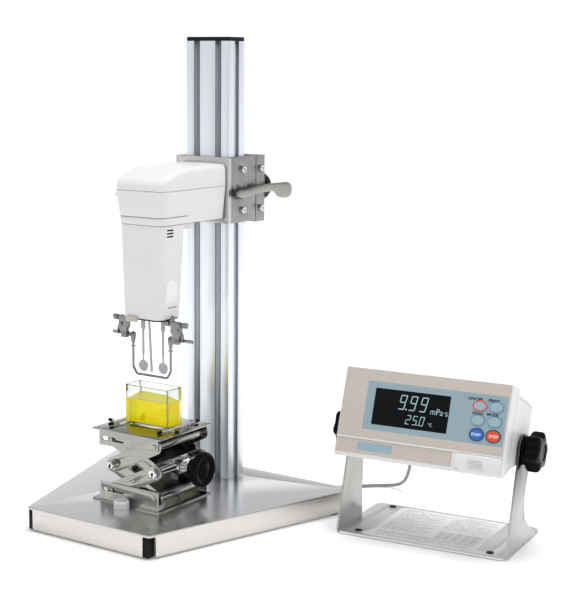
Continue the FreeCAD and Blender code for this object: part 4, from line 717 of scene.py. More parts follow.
# near-black strips where the side plates meet the rear block: painted shade in the gap between the parts
bm = bm_new()
for sx in (-1, 1):
    a, b = sorted((sx * 36.6, sx * 37.1))
    add_prism(bm, G, [(a, 43.25), (b, 43.25), (b, 43.95), (a, 43.95)], "z", 329.0, 401.6)
piece(bm, "plate_seams", mat="gap_shade_and_black_rubber", body="carriage", slot="stainless_plate")
cad("carriage_pads", bevel=(0.2, 1))
bm = bm_new()
for sx in (-1, 1):
    for y, z in ((16, 388), (16, 341.7), (52.0, 387.5), (52.0, 341.5)):
        add_cap_screw(bm, G, (sx * 37, y, z), "x", sx)
    for sz in (-1, 1):
        add_lathe(bm, G, [(0.02, -10.2), (2.0, -10.2), (2.2, -10.0), (2.2, -4.4), (0.02, -4.4)], (sx * 29, 0, 365.3 + sz * 29), "y", 20)
piece(bm, "carriage_screws_fin", "carriage_screws", replaces=("carriage_screws",))
# small grub hole in the right side plate with its rim and bottom, all in near black: painted shade in the hole
bm = bm_new()
add_lathe(bm, G, [(0.02, 36.7), (1.35, 36.7), (1.35, 37.05), (1.7, 37.05), (1.75, 36.9), (1.75, 36.0), (0.02, 36.0)], (0, -1.8, 364.6), "x", 24)
piece(bm, "plate_grub_hole", mat="gap_shade_and_black_rubber", body="carriage", slot="stainless_plate")
# ribbed boot where the cable enters the rear block
bm = bm_new()
prof = [(0.02, 62.0), (8.5, 62.0), (8.5, 66.0), (7.9, 66.4), (7.0, 66.6)]
for k in range(7):
    y_ = 67.6 + 2.0 * k
    prof += [(7.0, y_), (7.25, y_ + 0.2), (7.25, y_ + 1.1), (7.0, y_ + 1.3)]
prof += [(7.0, 81.6), (6.6, 82.2), (5.2, 82.4)]
for k in range(4):
    y_ = 83.2 + 2.7 * k
    r_ = 5.1 - 0.56 * k
    prof += [(r_, y_), (r_ - 0.75, y_ + 0.35), (r_ - 0.85, y_ + 1.1), (r_ - 0.2, y_ + 1.5)]
prof += [(2.9, 94.0), (2.0, 94.2), (0.02, 94.2)]
add_lathe(bm, G, prof, (-22, 0, 350), "y", 36)
piece(bm, "head_plug_boot", mat="black_plastic", body="carriage", slot="black_plastic")

# clamp lever: hub, slightly rising arm and a hooked paddle
bm = bm_new()
LY, LZ = 12.4, 360.0
st = [(-16.4, 1.0, 0.8, 0.8), (-16.1, 1.0, 2.4, 2.2), (-15.0, 1.1, 3.6, 3.0), (-12.0, 1.2, 4.1, 3.2), (0, 1.5, 4.2, 3.2), (14, 3.2, 4.3, 3.2), (28, 4.6, 4.3, 3.3),
      (40, 5.0, 4.4, 3.4), (52, 5.0, 4.6, 3.4), (57, 4.6, 5.1, 3.5), (62, 2.7, 6.9, 3.7), (66, 1.0, 8.5, 3.9), (71, 0.2, 9.4, 4.0), (76, 0.0, 9.6, 4.0),
      (81, 0.0, 9.5, 4.0), (85, 0.0, 8.6, 3.9), (88, 0.1, 6.6, 3.5), (89.6, 0.2, 4.2, 2.6), (90.0, 0.2, 1.4, 1.2)]
rings = []
for y, zc, hh, hw in st:
    ring = []
    for k in range(28):
        a = 2 * math.pi * k / 28
        ca, sa = math.cos(a), math.sin(a)
        e = 0.62
        x = hw * math.copysign(abs(ca) ** e, ca)
        z = hh * math.copysign(abs(sa) ** e, sa)
        if 60 < y < 88 and sa < 0:                       # thumb hollow under the paddle
            z *= 1 - 0.10 * math.sin(math.pi * (y - 60) / 28) * (1 - abs(ca))
        ring.append((45.4 + x, LY + y, LZ + zc + z))
    rings.append(ring)
add_loft(bm, G, rings)
add_lathe(bm, G, [(0.02, 37.3), (4.9, 37.3), (5.4, 37.8), (5.4, 42.0), (4.9, 42.8), (0.02, 43.4)], (0, LY, LZ), "x", 40)
piece(bm, "clamp_lever_fin", "clamp_lever", replaces=("clamp_lever",), sharp=48)

# brake knob
bm = bm_new()


def flute(a, r, h):
    return r - (0.55 * (1 + math.cos(20 * a)) if r > 15.9 else 0)


add_lathe(bm, G, [(0.02, 61.3), (9.0, 61.3), (9.0, 65.9), (14.6, 66.0), (15.8, 66.5), (16.4, 67.6), (16.5, 68.6), (16.5, 82.4), (16.3, 83.6), (15.6, 84.5), (14.4, 85.0),
                  (10.5, 85.0), (10.0, 84.6), (9.8, 84.0), (0.02, 83.8)], (15.0, 0, 364.0), "y", 80, rfun=flute)
piece(bm, "brake_knob_fin", "brake_knob", replaces=("brake_knob",))
bm = bm_new()
add_lathe(bm, G, [(0.02, 36.6), (3.9, 36.6), (3.95, 37.0), (3.95, 61.4), (0.02, 61.4)], (15.0, 0, 364.0), "y", 28)
piece(bm, "brake_screw", "brake_knob", mat="screw_steel")

# ================================================================ head
HR = -10.4


def rr_pts(x0, x1, y0, y1, rf, rr, n=8):
    """Rounded rectangle, front corners (at y0) of radius rf and rear corners of radius rr."""
    rf, rr = max(rf, 0.4), max(rr, 0.4)
    pts = []
    for cx, cy, r, a0 in ((x1 - rr, y1 - rr, rr, 0), (x0 + rr, y1 - rr, rr, 90), (x0 + rf, y0 + rf, rf, 180), (x1 - rf, y0 + rf, rf, 270)):
        for k in range(n + 1):
            a = math.radians(a0 + 90 * k / n)
            pts.append((cx + r * math.cos(a), cy + r * math.sin(a)))
    # extra points along the long sides so that shape can vary with depth
    out = []
    for i, p in enumerate(pts):
        q = pts[(i + 1) % len(pts)]
        out.append(p)
        dd = math.hypot(q[0] - p[0], q[1] - p[1])
        if i in (n, 3 * n + 2 + 1 - 1, 2 * n + 1, 4 * n + 3):
            m = 14 if i in (2 * n + 1 - 0, 4 * n + 3) else 6
            for k in range(1, m):
                out.append((p[0] + (q[0] - p[0]) * k / m, p[1] + (q[1] - p[1]) * k / m))
    return out


def head_ring(z, inset, fade=0.0):
    k = (z - 333.5) / 37.5
    if z <= 371.0:
        half, front = 31.1 + 3.9 * k, -122.4 - 2.5 * k
    else:
        k = (z - 371.0) / 25.0
        half, front = 35.0 - 0.9 * k, -124.9 + 1.8 * k
    base_ = rr_pts(-half + inset, half - inset, front + inset, HR - inset * 0.4, 10.5 - inset, 4.0 - inset * 0.6)
    if not fade:
        return [(x, y, z) for x, y in base_]
    deep = rr_pts(-half + inset + fade, half - inset - fade, front + inset + fade, HR - inset * 0.4, 10.5 - inset - fade, 4.0)
    out = []
    for (x, y), (u, v) in zip(base_, deep):
        t = 1 - smooth01((y + 84) / 12)
        out.append((x + (u - x) * t, y + (v - y) * t, z))
    return out


bm = bm_new()
rings = [head_ring(333.5, 1.1), head_ring(333.75, 0.5), head_ring(334.3, 0.12), head_ring(335.0, 0.0), head_ring(341.3, 0.0), head_ring(341.75, 0.0, 0.2), head_ring(341.95, 0.0, 0.62),
         head_ring(342.9, 0.0, 0.72), head_ring(343.15, 0.0, 0.25), head_ring(343.6, 0.0), head_ring(350, 0), head_ring(358, 0), head_ring(366, 0), head_ring(370.1, 0.0),
         head_ring(370.6, 0.16), head_ring(370.8, 0.5), head_ring(370.8, 1.9), head_ring(369.4, 1.9)]
add_loft(bm, G, rings)
hb = piece(bm, "head_body", "head_body_shell", mat=["white_plastic", "seam_shade"], replaces=("head_body_shell",), sharp=40)
# bottom bevel and groove faces in the seam shade: painted shade at the joint and in the groove
paint(hb, G, lambda c, n: 1 if (n.z > -0.97 and (333.45 < c.z < 334.2 or (341.9 < c.z < 342.95 and c.y < -77))) else 0)
bm = bm_new()
add_box(bm, G, -19, -76.5, 325.5, 19, -49, 334.0)
piece(bm, "head_body_rib", "head_body_shell", bevel=(1.6, 4))
# inner lip behind the top seam in the darker white: painted shade in the gap
bm = bm_new()
add_loft(bm, G, [head_ring(369.0, 1.6), head_ring(373.2, 1.6)])
piece(bm, "head_seam_lip", "head_body_shell", mat="white_inner_shaded")

TOPT = [(-126, 379.8), (-122.5, 381.2), (-118, 384.0), (-112, 387.2), (-105, 390.0), (-98, 392.2), (-90, 394.2), (-82, 395.4), (-74, 395.9), (-66, 396.0), (0, 396.0)]


def top_at(x, y):
    return interp(TOPT, y) - 1.3 * (abs(x) / 34.5) ** 2.4


def cover_ring(inset, th=None):
    R = 5.6
    half, front = 34.9, -124.8
    ins = inset if th is None else R * (1 - math.cos(th))
    rr = 10.5 - ins
    pts = rr_pts(-half + ins, half - ins, front + ins, HR - ins * 0.45, rr, 4.0 - ins * 0.45)
    out = []
    for x, y in pts:
        if th is None:
            z = top_at(x, y)
        else:
            z = top_at(x, y) - R * (1 - math.sin(th))
        out.append((x, y, z))
    return out


bm = bm_new()
rings = [head_ring(372.6, 1.9), head_ring(371.2, 1.9), head_ring(371.2, 0.5), head_ring(371.4, 0.16), head_ring(371.9, 0.0)]
for j in range(0, 9):
    rings.append(cover_ring(0, math.radians(90 * j / 8)))
for ins in (8, 11, 14, 17, 20, 23, 26, 29, 32, 34.0, 34.9):
    rings.append(cover_ring(ins))
vs = add_loft(bm, G, rings, cap1=False)
bmesh.ops.remove_doubles(bm, verts=bm.verts, dist=1e-5)
piece(bm, "head_cover", "head_top_cover", replaces=("head_top_cover",), sharp=40)


def low_ring(z, inset=0.0):
    k = (z - 231.0) / 102.5
    half = 26.7 + 3.6 * k
    rearm = -81.4 + 4.4 * k
    pts = rr_pts(-half + inset, half - inset, -121.3 + inset, rearm - inset, 8.5 - inset, 8.5 - inset)
    return [(x, y, z) for x, y in pts]


bm = bm_new()
rings = [low_ring(231.0, 1.0), low_ring(231.25, 0.42), low_ring(231.7, 0.1), low_ring(232.4, 0.0)] + [low_ring(z) for z in (236, 250, 270, 290, 310, 325, 333.4)]
add_loft(bm, G, rings)
low = piece(bm, "head_lower", "head_lower_shell", mat=["white_plastic", "gap_shade_and_black_rubber"], replaces=("head_lower_shell",), sharp=40)
cb = bm_new()
for z in (328.8, 325.4, 322.0):
    add_prism(cb, G, rrect(-106.4, z, 5.6, 0.85, 0.8, 3), "x", 24.3, 35)
add_prism(cb, G, rrect(-99.6, 243.6, 7.6, 0.42, 0.4, 3), "x", 24.8, 35)
add_box(cb, G, -12, -124, 232.5, 12, -120.9, 232.9)
cut(low, cb)
# inner faces of the vents and of the slot line in near black: painted shade in the recesses
paint(low, G, lambda c, n: 1 if (abs(c.x) < 26.7 + 3.6 * (c.z - 231) / 102.5 - 0.06 and c.x > 21 and -112.5 < c.y < -91.5 and (320 < c.z < 331 or 242.5 < c.z < 244.8)
                                 and (abs(n.z) > 0.5 or n.x > 0.5 or abs(n.y) > 0.5)) else 0)
# raised arch on the right side of the lower cover, in a lighter copy of the white plastic as a painted highlight
bm = bm_new()


def arch_pt(y, z, off):
    return (26.7 + 3.6 * (z - 231.0) / 102.5 + off, y, z)


outline_ = [(-102.6 + 10.1 * math.cos(math.radians(a)), 264 + 10.6 * math.sin(math.radians(a))) for a in range(0, 181, 12)]
outline_ = [(-92.5, 246.5)] + outline_ + [(-112.7, 246.5)]
rings = []
for ins, off in ((0.0, -1.0), (0.0, 0.5), (0.2, 1.15), (0.6, 1.5), (1.3, 1.65)):
    ring = []
    for y, z in outline_:
        dy, dz = y + 102.6, z - 258
        L_ = math.hypot(dy, dz)
        fade_ = smooth01((z - 246.5) / 10.0)
        o2 = off if off < 0 else off * fade_ - (1 - fade_) * 0.2
        ring.append(arch_pt(y - dy / L_ * ins, z - dz / L_ * ins, o2))
    rings.append(ring)
add_loft(bm, G, rings)
piece(bm, "head_arch", "head_lower_shell", mat="white_plastic_highlit", sharp=60)
cad("head_bottom_plate", bevel=(0.25, 2))
bm = bm_new()
add_prism(bm, G, rrect(-11.5, -122.4, 7.5, 2.2, 1.4, 4), "z", 227.2, 233.4)
piece(bm, "head_front_tab", mat="beige_tab", body="carriage", bevel=(0.8, 3), slot="lever_grey")
bm = bm_new()
add_lathe(bm, G, [(0.02, -33.0), (2.4, -33.0), (2.4, -35.8), (2.0, -36.4), (1.2, -36.8), (0.02, -36.9)], (0, -117.0, 365.0), "x", 24)
piece(bm, "head_side_peg", "head_body_shell")

cad("temperature_probe", bevel=None, sharp=50)
for nd in ("sensor_plate_left", "sensor_plate_right"):
    cad(nd, bevel=(0.1, 1), sharp=40)
cad("protector_holders", ["holder_steel"], bevel=(0.45, 2))
# small fittings on the holder blocks: knurled screw heads, cheese heads and spring clips
bm = bm_new()
for sx in (-1, 1):
    def kn(a, r, h):
        return r - (0.16 * (1 + math.cos(18 * a)) if r > 3.0 else 0)
    add_lathe(bm, G, [(0.02, sx * 45.4), (2.6, sx * 45.4), (3.25, sx * 45.9), (3.25, sx * 50.3), (2.8, sx * 50.9), (0.02, sx * 51.0)], (0, -104.6, 226.4), "x", 72, rfun=kn)
    add_lathe(bm, G, [(0.02, -108.6), (2.3, -108.6), (2.6, -108.3), (2.6, -107.0), (0.02, -107.0)], (sx * 26.0, 0, 226.6), "y", 24)
    add_lathe(bm, G, [(0.02, -108.4), (1.8, -108.4), (2.1, -108.1), (2.1, -107.0), (0.02, -107.0)], (sx * 40.0, 0, 219.5), "y", 24)
    add_lathe(bm, G, [(0.02, 229.2), (2.5, 229.2), (2.5, 232.4), (2.0, 232.8), (1.5, 234.9), (0.8, 235.4), (0.02, 235.5)], (sx * 31.5, -104.6, 0), "z", 28)
    add_prism(bm, G, [(sx * 37.5, 218.0), (sx * 44.2, 218.0), (sx * 45.6, 214.0), (sx * 45.6, 208.0), (sx * 44.6, 208.0), (sx * 44.6, 213.6), (sx * 43.5, 217.0), (sx * 37.5, 217.0)],
              "y", -106.8, -102.4)
piece(bm, "holder_fittings", mat="holder_steel", body="carriage", slot="probe_steel", sharp=38)
# protector wire with sleeves, nuts and cross pins
bm = bm_new()
wp = [(-26.5, -102, 212.0), (-26.5, -102, 172.0), (-21.5, -102, 164.3), (21.5, -102, 164.3), (26.5, -102, 172.0), (26.5, -102, 212.0)]
add_tube(bm, G, bend_path(wp, 3.4, 8), 1.35, n=16)
for sx in (-1, 1):
    add_lathe(bm, G, [(0.02, 198.5), (1.6, 198.5), (2.0, 199.6), (3.0, 205.8), (3.15, 206.6), (3.15, 209.8), (2.7, 210.5), (1.5, 210.6), (0.02, 210.6)], (sx * 26.5, -102, 0), "z", 28)
    add_lathe(bm, G, [(0.02, sx * 26.5 - 3.2), (0.75, sx * 26.5 - 3.2), (0.8, sx * 26.5 - 3.0), (0.8, sx * 26.5 + 3.0), (0.75, sx * 26.5 + 3.2), (0.02, sx * 26.5 + 3.2)],
              (0, -102, 195.4), "x", 14)
    a, b = sorted((sx * 26.5, sx * 32.4))
    add_prism(bm, G, rrect((a + b) / 2, -102.0, (b - a) / 2, 1.9, 0.7, 3), "z", 206.2, 210.0)
piece(bm, "protector_fin", "protector", mat="holder_steel", replaces=("protector",), sharp=40)
for nd in ("protector_lever_left", "protector_lever_right"):
    cad(nd, ["holder_steel"], bevel=(0.4, 2))
for nd in ("drive_unit", "head_circuit_board", "display_electronics"):
    ob = frame["nodes"][nd]
    ob.data.materials.clear()
    ob.data.materials.append(MAT[SLOT_OF[nd]])

# ================================================================ lab jack
for nd in ("jack_base", "jack_platform"):
    cad(nd, ["jack_steel"], bevel=(0.22, 2))
for nd in ("jack_lower_arm_inner", "jack_lower_arm_outer", "jack_upper_arm_outer", "jack_upper_arm_inner"):
    cad(nd, ["jack_steel"], bevel=(0.2, 2))
cad("jack_nut_bar", ["screw_steel"], bevel=(0.3, 2))
cad("jack_axle_block", ["screw_steel"], bevel=(0.3, 2))
XR, XL, ZM, YC = 38.3, -21.5, 68.9, -102.5
# domed caps with a key slot on the four ends of the middle axles
for nm_, bx_, x in (("axle_caps_right", "jack_axle_block", XR), ("axle_caps_left", "jack_nut_bar", XL)):
    bm = bm_new()
    for y, s_ in ((-149.4, -1), (-55.6, 1)):
        rr_ = 5.6 if x > 0 else 4.6
        add_lathe(bm, G, [(0.02, y + s_ * 0.2), (1.5, y + s_ * 0.2), (1.6, y + s_ * 0.7), (2.2, y + s_ * 1.0), (rr_ - 1.4, y + s_ * 0.9), (rr_ - 0.5, y + s_ * 0.5),
                          (rr_, y - s_ * 0.1), (rr_, y - s_ * 0.8), (0.02, y - s_ * 0.8)], (x, 0, ZM), "y", 36)
    piece(bm, nm_, mat="screw_steel", body=BODY_OF[bx_], slot="screw_steel")
    # key slot and centre hole on each cap as near-black inlays: painted shade in the recesses
    bm = bm_new()
    for y, s_ in ((-149.4, -1), (-55.6, 1)):
        a, b = sorted((y + s_ * 0.25, y + s_ * 1.08))
        add_prism(bm, G, rrect(x + 0.2, ZM - 1.6, 0.55, 2.2, 0.3, 3), "y", a, b)
        add_lathe(bm, G, [(0.02, a), (1.35, a), (1.35, b), (0.02, b)], (x, 0, ZM), "y", 18)
    piece(bm, nm_ + "_slot", mat="gap_shade_and_black_rubber", body=BODY_OF[bx_], slot="screw_steel")
# lead screw with thread, hub and round grip
bm = bm_new()
rings = []
npt, pitch_, x0_, x1_ = 24, 2.0, -39.5, 60.0
nr = int((x1_ - x0_) / pitch_ * 6)
for i in range(nr + 1):
    x = x0_ + (x1_ - x0_) * i / nr
    ring = []
    for k in range(npt):
        a = 2 * math.pi * k / npt
        ph = (x / pitch_ - k / npt) % 1.0
        r_ = 2.98 - 0.55 * abs(2 * ph - 1)
        ring.append((x, YC + r_ * math.cos(a), ZM + r_ * math.sin(a)))
    rings.append(ring)
add_loft(bm, G, rings)
piece(bm, "jack_lead_screw", "jack_screw_knob", mat="screw_steel", sharp=60)
bm = bm_new()
add_lathe(bm, G, [(0.02, 45.5), (4.4, 45.5), (4.6, 45.7), (4.6, 48.3), (4.4, 48.5), (0.02, 48.5)], (0, YC, ZM), "x", 32)
piece(bm, "jack_collar", "jack_screw_knob", mat="screw_steel")
bm = bm_new()
add_lathe(bm, G, [(0.02, 55.9), (9.4, 55.9), (10.0, 56.4), (10.4, 57.6), (11.2, 61.0), (12.4, 64.6), (13.4, 66.4), (16.6, 66.5), (18.4, 67.0), (19.2, 68.0), (19.5, 69.4),
                  (19.5, 72.0), (19.2, 73.4), (18.4, 74.5), (17.4, 74.93), (16.4, 75.0), (14.6, 74.95), (14.1, 74.5), (13.8, 73.2), (13.1, 72.7), (9.4, 72.5), (8.8, 72.9),
                  (8.5, 73.8), (7.8, 74.4), (4.0, 74.7), (0.02, 74.8)], (0, YC, ZM), "x", 72)
piece(bm, "jack_knob", "jack_screw_knob", mat="black_knob", replaces=("jack_screw_knob",), sharp=50)


def guide_fn(c, n):
    return 1 if (c.y < -128.6 or c.y > -69.0 or abs(c.x) > 44.4) else 0


cad("cup_guides", ["screw_steel", "black_plastic"], bevel=(0.2, 2), fn=guide_fn)

# cup: thick clear walls with rounded corners and rim
bm = bm_new()


def cup_ring(z, ins, r):
    return [(x, y, z) for x, y in rrect(0, -99.5, 30.75 - ins, 13.5 - ins, max(r, 0.6), 7)]


rings = [cup_ring(108.08, 1.3, 2.6), cup_ring(108.3, 0.55, 3.2), cup_ring(108.9, 0.0, 3.5), cup_ring(152.4, 0.0, 3.5), cup_ring(152.85, 0.15, 3.4), cup_ring(153.05, 0.5, 3.0),
         cup_ring(153.05, 1.7, 2.6), cup_ring(152.85, 2.2, 2.6), cup_ring(152.4, 2.5, 2.6), cup_ring(113.0, 2.6, 2.6), cup_ring(111.4, 3.1, 2.4), cup_ring(110.6, 4.2, 2.0)]
add_loft(bm, G, rings)
cupg = piece(bm, "cup_glass", "sample_cup", mat=["clear_plastic", "clear_edge"], replaces=("sample_cup",), sharp=50)
# rim top and corner faces in the darker clear copy: painted edge shade
paint(cupg, G, lambda c, n: 1 if n.z > 0.6 or (abs(n.x) > 0.4 and abs(n.y) > 0.4) else 0)
bm = bm_new()
rings = [cup_ring(110.65, 4.2, 2.0), cup_ring(111.45, 3.07, 2.4), cup_ring(113.0, 2.57, 2.6), cup_ring(124.0, 2.56, 2.6), cup_ring(132.0, 2.54, 2.6), cup_ring(137.0, 2.53, 2.6)]
add_loft(bm, G, rings)
liq = piece(bm, "cup_liquid", "sample_cup", mat=["liquid", "liquid_top_glow"], sharp=50)
# the top surface takes the separate glowing copy: painted light
paint(liq, G, lambda c, n: 1 if n.z > 0.7 else 0)

# ================================================================ display unit
DISP = "display"


def body_profile_prism(bm, M, pts, x0, x1, steps=1):
    return add_prism(bm, M, pts, "x", x0, x1)


bm = bm_new()
add_prism(bm, DU, [(0, 38.5), (21.8, 37.6), (21.8, -50.6), (8, -58), (2, -58), (0, -55)], "x", -94, 94)


def mid(e):
    m = DU.inverted() @ ((e.verts[0].co + e.verts[1].co) / 2)
    return m


def ang(e):
    return e.calc_face_angle(0)


bevel_some(bm, lambda e: ang(e) > 0.4 and mid(e).y < 21.0, 0.8, 3)
bevel_some(bm, lambda e: ang(e) > 1.0 and mid(e).y > 21.5, 0.5, 2)
piece(bm, "display_front", "display_front_case", replaces=("display_front_case",), sharp=40)
bm = bm_new()
add_prism(bm, DU, [(-1.15, -36.5), (-0.9, -36.25), (0.4, -36.2), (0.4, -38.0), (-0.9, -37.95), (-1.15, -37.7)], "x", -92.9, 92.9)
piece(bm, "display_ridge", "display_front_case", bevel=None)
bm = bm_new()
add_prism(bm, DU, [(22.2, 37.5), (24.2, 37.4), (25.0, 36.2), (26.2, 31.7), (56, 30.2), (78, 24.6), (78, -20), (60, -37), (30, -46.5), (22.2, -50.5)], "x", -93.8, 93.8)
bevel_some(bm, lambda e: ang(e) > 0.5 and mid(e).y > 23.0, 2.2, 4)
piece(bm, "display_rear", "display_rear_case", mat=["white_plastic"], replaces=("display_rear_case",), sharp=40)
# inner lip behind the case seam in the darker white: painted shade in the gap
bm = bm_new()
add_prism(bm, DU, [(20, 36.0), (24, 36.0), (24, -49.0), (20, -49.0)], "x", -92.4, 92.4)
piece(bm, "display_seam_lip", "display_rear_case", mat="white_inner_shaded")


def film(bm, x0, x1, v0, v1, w0, w1, r, mi=0, n=5):
    add_prism(bm, DU, rrect((x0 + x1) / 2, (v0 + v1) / 2, (x1 - x0) / 2, (v1 - v0) / 2, r, n), "y", w0, w1, mi)


bm = bm_new()
film(bm, -93.0, 93.0, -36.15, 37.6, -0.35, 0.1, 0.9)
film(bm, -93.0, 38.8, -53.8, -38.4, -0.35, 0.1, 0.9)
piece(bm, "overlay_film", "display_overlay", replaces=("display_overlay",), bevel=(0.08, 1))
bm = bm_new()
film(bm, -66.0, 91.2, -27.0, 25.3, -0.39, -0.3, 1.0)
piece(bm, "overlay_zone", mat="overlay_blue", body=DISP, slot="overlay_beige")
bm = bm_new()
film(bm, -68.0, -28.0, -49.9, -41.0, -0.39, -0.3, 0.8)
piece(bm, "overlay_tag", mat="overlay_tag", body=DISP, slot="overlay_beige")
# window: dark glass, slightly rounded corners
bm = bm_new()
film(bm, -56.3, 29.2, -20.8, 18.6, -0.46, -0.3, 0.9)
piece(bm, "window_glass", "display_window", replaces=("display_window",), bevel=(0.08, 2))


# seven segment digits
SEG = {"0": "abcdef", "1": "bc", "2": "abged", "3": "abgcd", "4": "fgbc", "5": "afgcd", "6": "afgcde", "7": "abc", "8": "abcdefg", "9": "abfgcd"}


def digit(bm, ch, u, v, w, h, t, slant=0.17, lit=True):
    """One digit: lower left corner (u, v), width w, height h, bar thickness t."""
    def P(x, y):
        return (u + x + slant * y, v + y)
    g_ = t * 0.10
    m = h / 2
    bars = {
        "a": [(g_ + t * 0.2, h), (w - g_ - t * 0.2, h), (w - t - g_, h - t), (t + g_, h - t)],
        "d": [(g_ + t * 0.2, 0), (w - g_ - t * 0.2, 0), (w - t - g_, t), (t + g_, t)],
        "g": [(t * 0.6 + g_, m), (t + g_, m + t / 2), (w - t - g_, m + t / 2), (w - t * 0.6 - g_, m), (w - t - g_, m - t / 2), (t + g_, m - t / 2)],
        "f": [(0, h - g_ - t * 0.2), (t, h - t - g_), (t, m + t / 2 + g_), (t * 0.5, m + g_), (0, m + g_ + t * 0.3)],
        "e": [(0, g_ + t * 0.2), (t, t + g_), (t, m - t / 2 - g_), (t * 0.5, m - g_), (0, m - g_ - t * 0.3)],
        "b": [(w, h - g_ - t * 0.2), (w - t, h - t - g_), (w - t, m + t / 2 + g_), (w - t * 0.5, m + g_), (w, m + g_ + t * 0.3)],
        "c": [(w, g_ + t * 0.2), (w - t, t + g_), (w - t, m - t / 2 - g_), (w - t * 0.5, m - g_), (w, m - g_ - t * 0.3)],
    }
    for k, pts in bars.items():
        if (k in SEG[ch]) == lit:
            add_prism(bm, DU, [P(*p) for p in pts], "y", -0.52 if lit else -0.49, -0.44)


bm = bm_new()
for ch, u in zip("999", (-28.6, -16.6, -4.6)):
    digit(bm, ch, u, -1.6, 7.2, 15.8, 0.98)
for ch, u in zip("250", (-18.2, -10.5, -2.8)):
    digit(bm, ch, u, -16.2, 4.9, 9.8, 0.68)
add_prism(bm, DU, rrect(-18.9, -0.9, 0.8, 0.75, 0.2, 2), "y", -0.52, -0.44)
add_prism(bm, DU, rrect(-4.3, -15.7, 0.5, 0.48, 0.15, 2), "y", -0.52, -0.44)
piece(bm, "digits_lit", mat="digit_lit", body=DISP, slot="window_black")
text_piece("unit_text", DISP, "mPa·s", 8.2, DU, 18.3, -0.47, 0.4, "digit_lit", fit=(19.2, 6.6), bold=-0.06)
text_piece("degree_text", DISP, "°C", 4.8, DU, 9.9, -0.47, -14.0, "digit_lit")


# keys: round stem, oval cap with a rim of its own colour
KEYS = {"key_power": (61.2, 12.9), "key_print": (79.8, 12.9), "key_hold": (61.2, -2.4), "key_mode": (79.8, -2.4), "key_start": (61.2, -17.3), "key_stop": (79.8, -17.3)}


def key(name, node, mats, rim, rx, rz, du_, dv_):
    kx, kz = KEYS[node]

    def oval(a, b, w, c=1.0):
        return [(kx + du_ * c + a * math.cos(2 * math.pi * k / 56), w, kz + dv_ * c + b * math.sin(2 * math.pi * k / 56)) for k in range(56)]
    bm = bm_new()
    add_loft(bm, DU, [oval(5.4, 5.4, 1.4, 0), oval(5.5, 5.5, 1.2, 0), oval(5.5, 5.5, -0.6, 0), oval(5.5, 5.4, -0.84), oval(rx - 0.2, rz - 0.15, -0.86), oval(rx, rz, -0.93), oval(rx, rz, -1.0),
                      oval(rx - 0.15, rz - 0.15, -1.08), oval(rx - rim, rz - rim, -1.12)], cap1=False)
    add_loft(bm, DU, [oval(rx - rim, rz - rim, -1.12), oval(rx - rim - 0.15, rz - rim - 0.15, -1.14), oval(rx * 0.5, rz * 0.5, -1.18), oval(0.05, 0.05, -1.2)], cap0=False, mi=1)
    piece(bm, name, node, mat=mats, replaces=(node,), sharp=50)


key("key_power_cap", "key_power", ["ring_red", "key_pale"], 1.25, 7.9, 5.7, 0.5, -0.5)
key("key_print_cap", "key_print", ["ring_blue", "key_pale"], 0.9, 7.9, 5.7, -0.4, 0.0)
key("key_hold_cap", "key_hold", ["ring_blue", "key_pale"], 0.9, 7.9, 5.7, 0.1, 0.0)
key("key_mode_cap", "key_mode", ["ring_blue", "key_pale"], 0.9, 7.9, 5.7, -0.2, 0.0)
key("key_start_cap", "key_start", ["ring_navy", "key_blue"], 1.15, 8.2, 6.8, 1.0, 0.0)
key("key_stop_cap", "key_stop", ["ring_navy", "key_red"], 1.15, 8.3, 6.8, 0.4, 0.2)
text_piece("caption_power", DISP, "ON/OFF", 3.9, DU, 55.6, -0.42, 19.3, "print_dark", fit=(15.8, 3.3), bold=0.16)
text_piece("caption_print", DISP, "PRINT", 3.9, DU, 76.0, -0.42, 19.3, "print_dark", fit=(12.0, 3.3), bold=0.16)
text_piece("caption_hold", DISP, "HOLD", 3.9, DU, 60.3, -0.42, 4.6, "print_dark", fit=(12.0, 3.0), bold=0.16)
text_piece("caption_mode", DISP, "MODE", 3.9, DU, 76.4, -0.42, 4.9, "print_dark", fit=(12.4, 3.0), bold=0.16)
text_piece("caption_start", "key_start", "START", 3.1, DU, 61.9, -1.21, -17.3, "print_white", fit=(10.6, 2.9), bold=0.06)
text_piece("caption_stop", "key_stop", "STOP", 3.4, DU, 80.7, -1.21, -17.3, "print_white", fit=(10.0, 3.1), bold=0.06)

# lower right: white bar, ribbed cover, small catch
bm = bm_new()
add_prism(bm, DU, [(0.3, -38.4), (-0.5, -38.4), (-0.75, -39.0), (-0.75, -54.0), (-0.4, -54.9), (0.8, -56.4), (2.2, -57.4), (3.0, -57.4)], "x", 39.2, 42.6)
piece(bm, "display_bar", "display_front_case", bevel=(0.3, 2))
bm = bm_new()
add_prism(bm, DU, [(0.2, -38.3), (-1.6, -38.3), (-2.5, -39.0), (-2.9, -40.6), (-3.0, -54.6), (-2.6, -56.2), (-1.4, -57.3), (1.5, -57.7), (2.4, -57.0), (0.4, -54.6)], "x", 43.2, 92.4)
bevel_some(bm, lambda e: ang(e) > 0.5, 0.7, 3)
for k, v in enumerate((-44.0, -46.6, -49.2, -51.8)):
    add_prism(bm, DU, rrect(64.5 + 0.8 * k, v, 8.5, 0.62, 0.55, 3), "y", -3.75, -2.8)
piece(bm, "side_cover_fin", "side_cover", replaces=("side_cover",), sharp=40)
bm = bm_new()
film(bm, 44.4, 48.6, -55.0, -54.3, -3.06, -2.9, 0.3)
piece(bm, "cover_mark", mat="paper_ink", body=BODY_OF["side_cover"], slot="white_plastic")
cad("display_fittings", ["black_plastic"], bevel=(0.3, 2), M=DU)
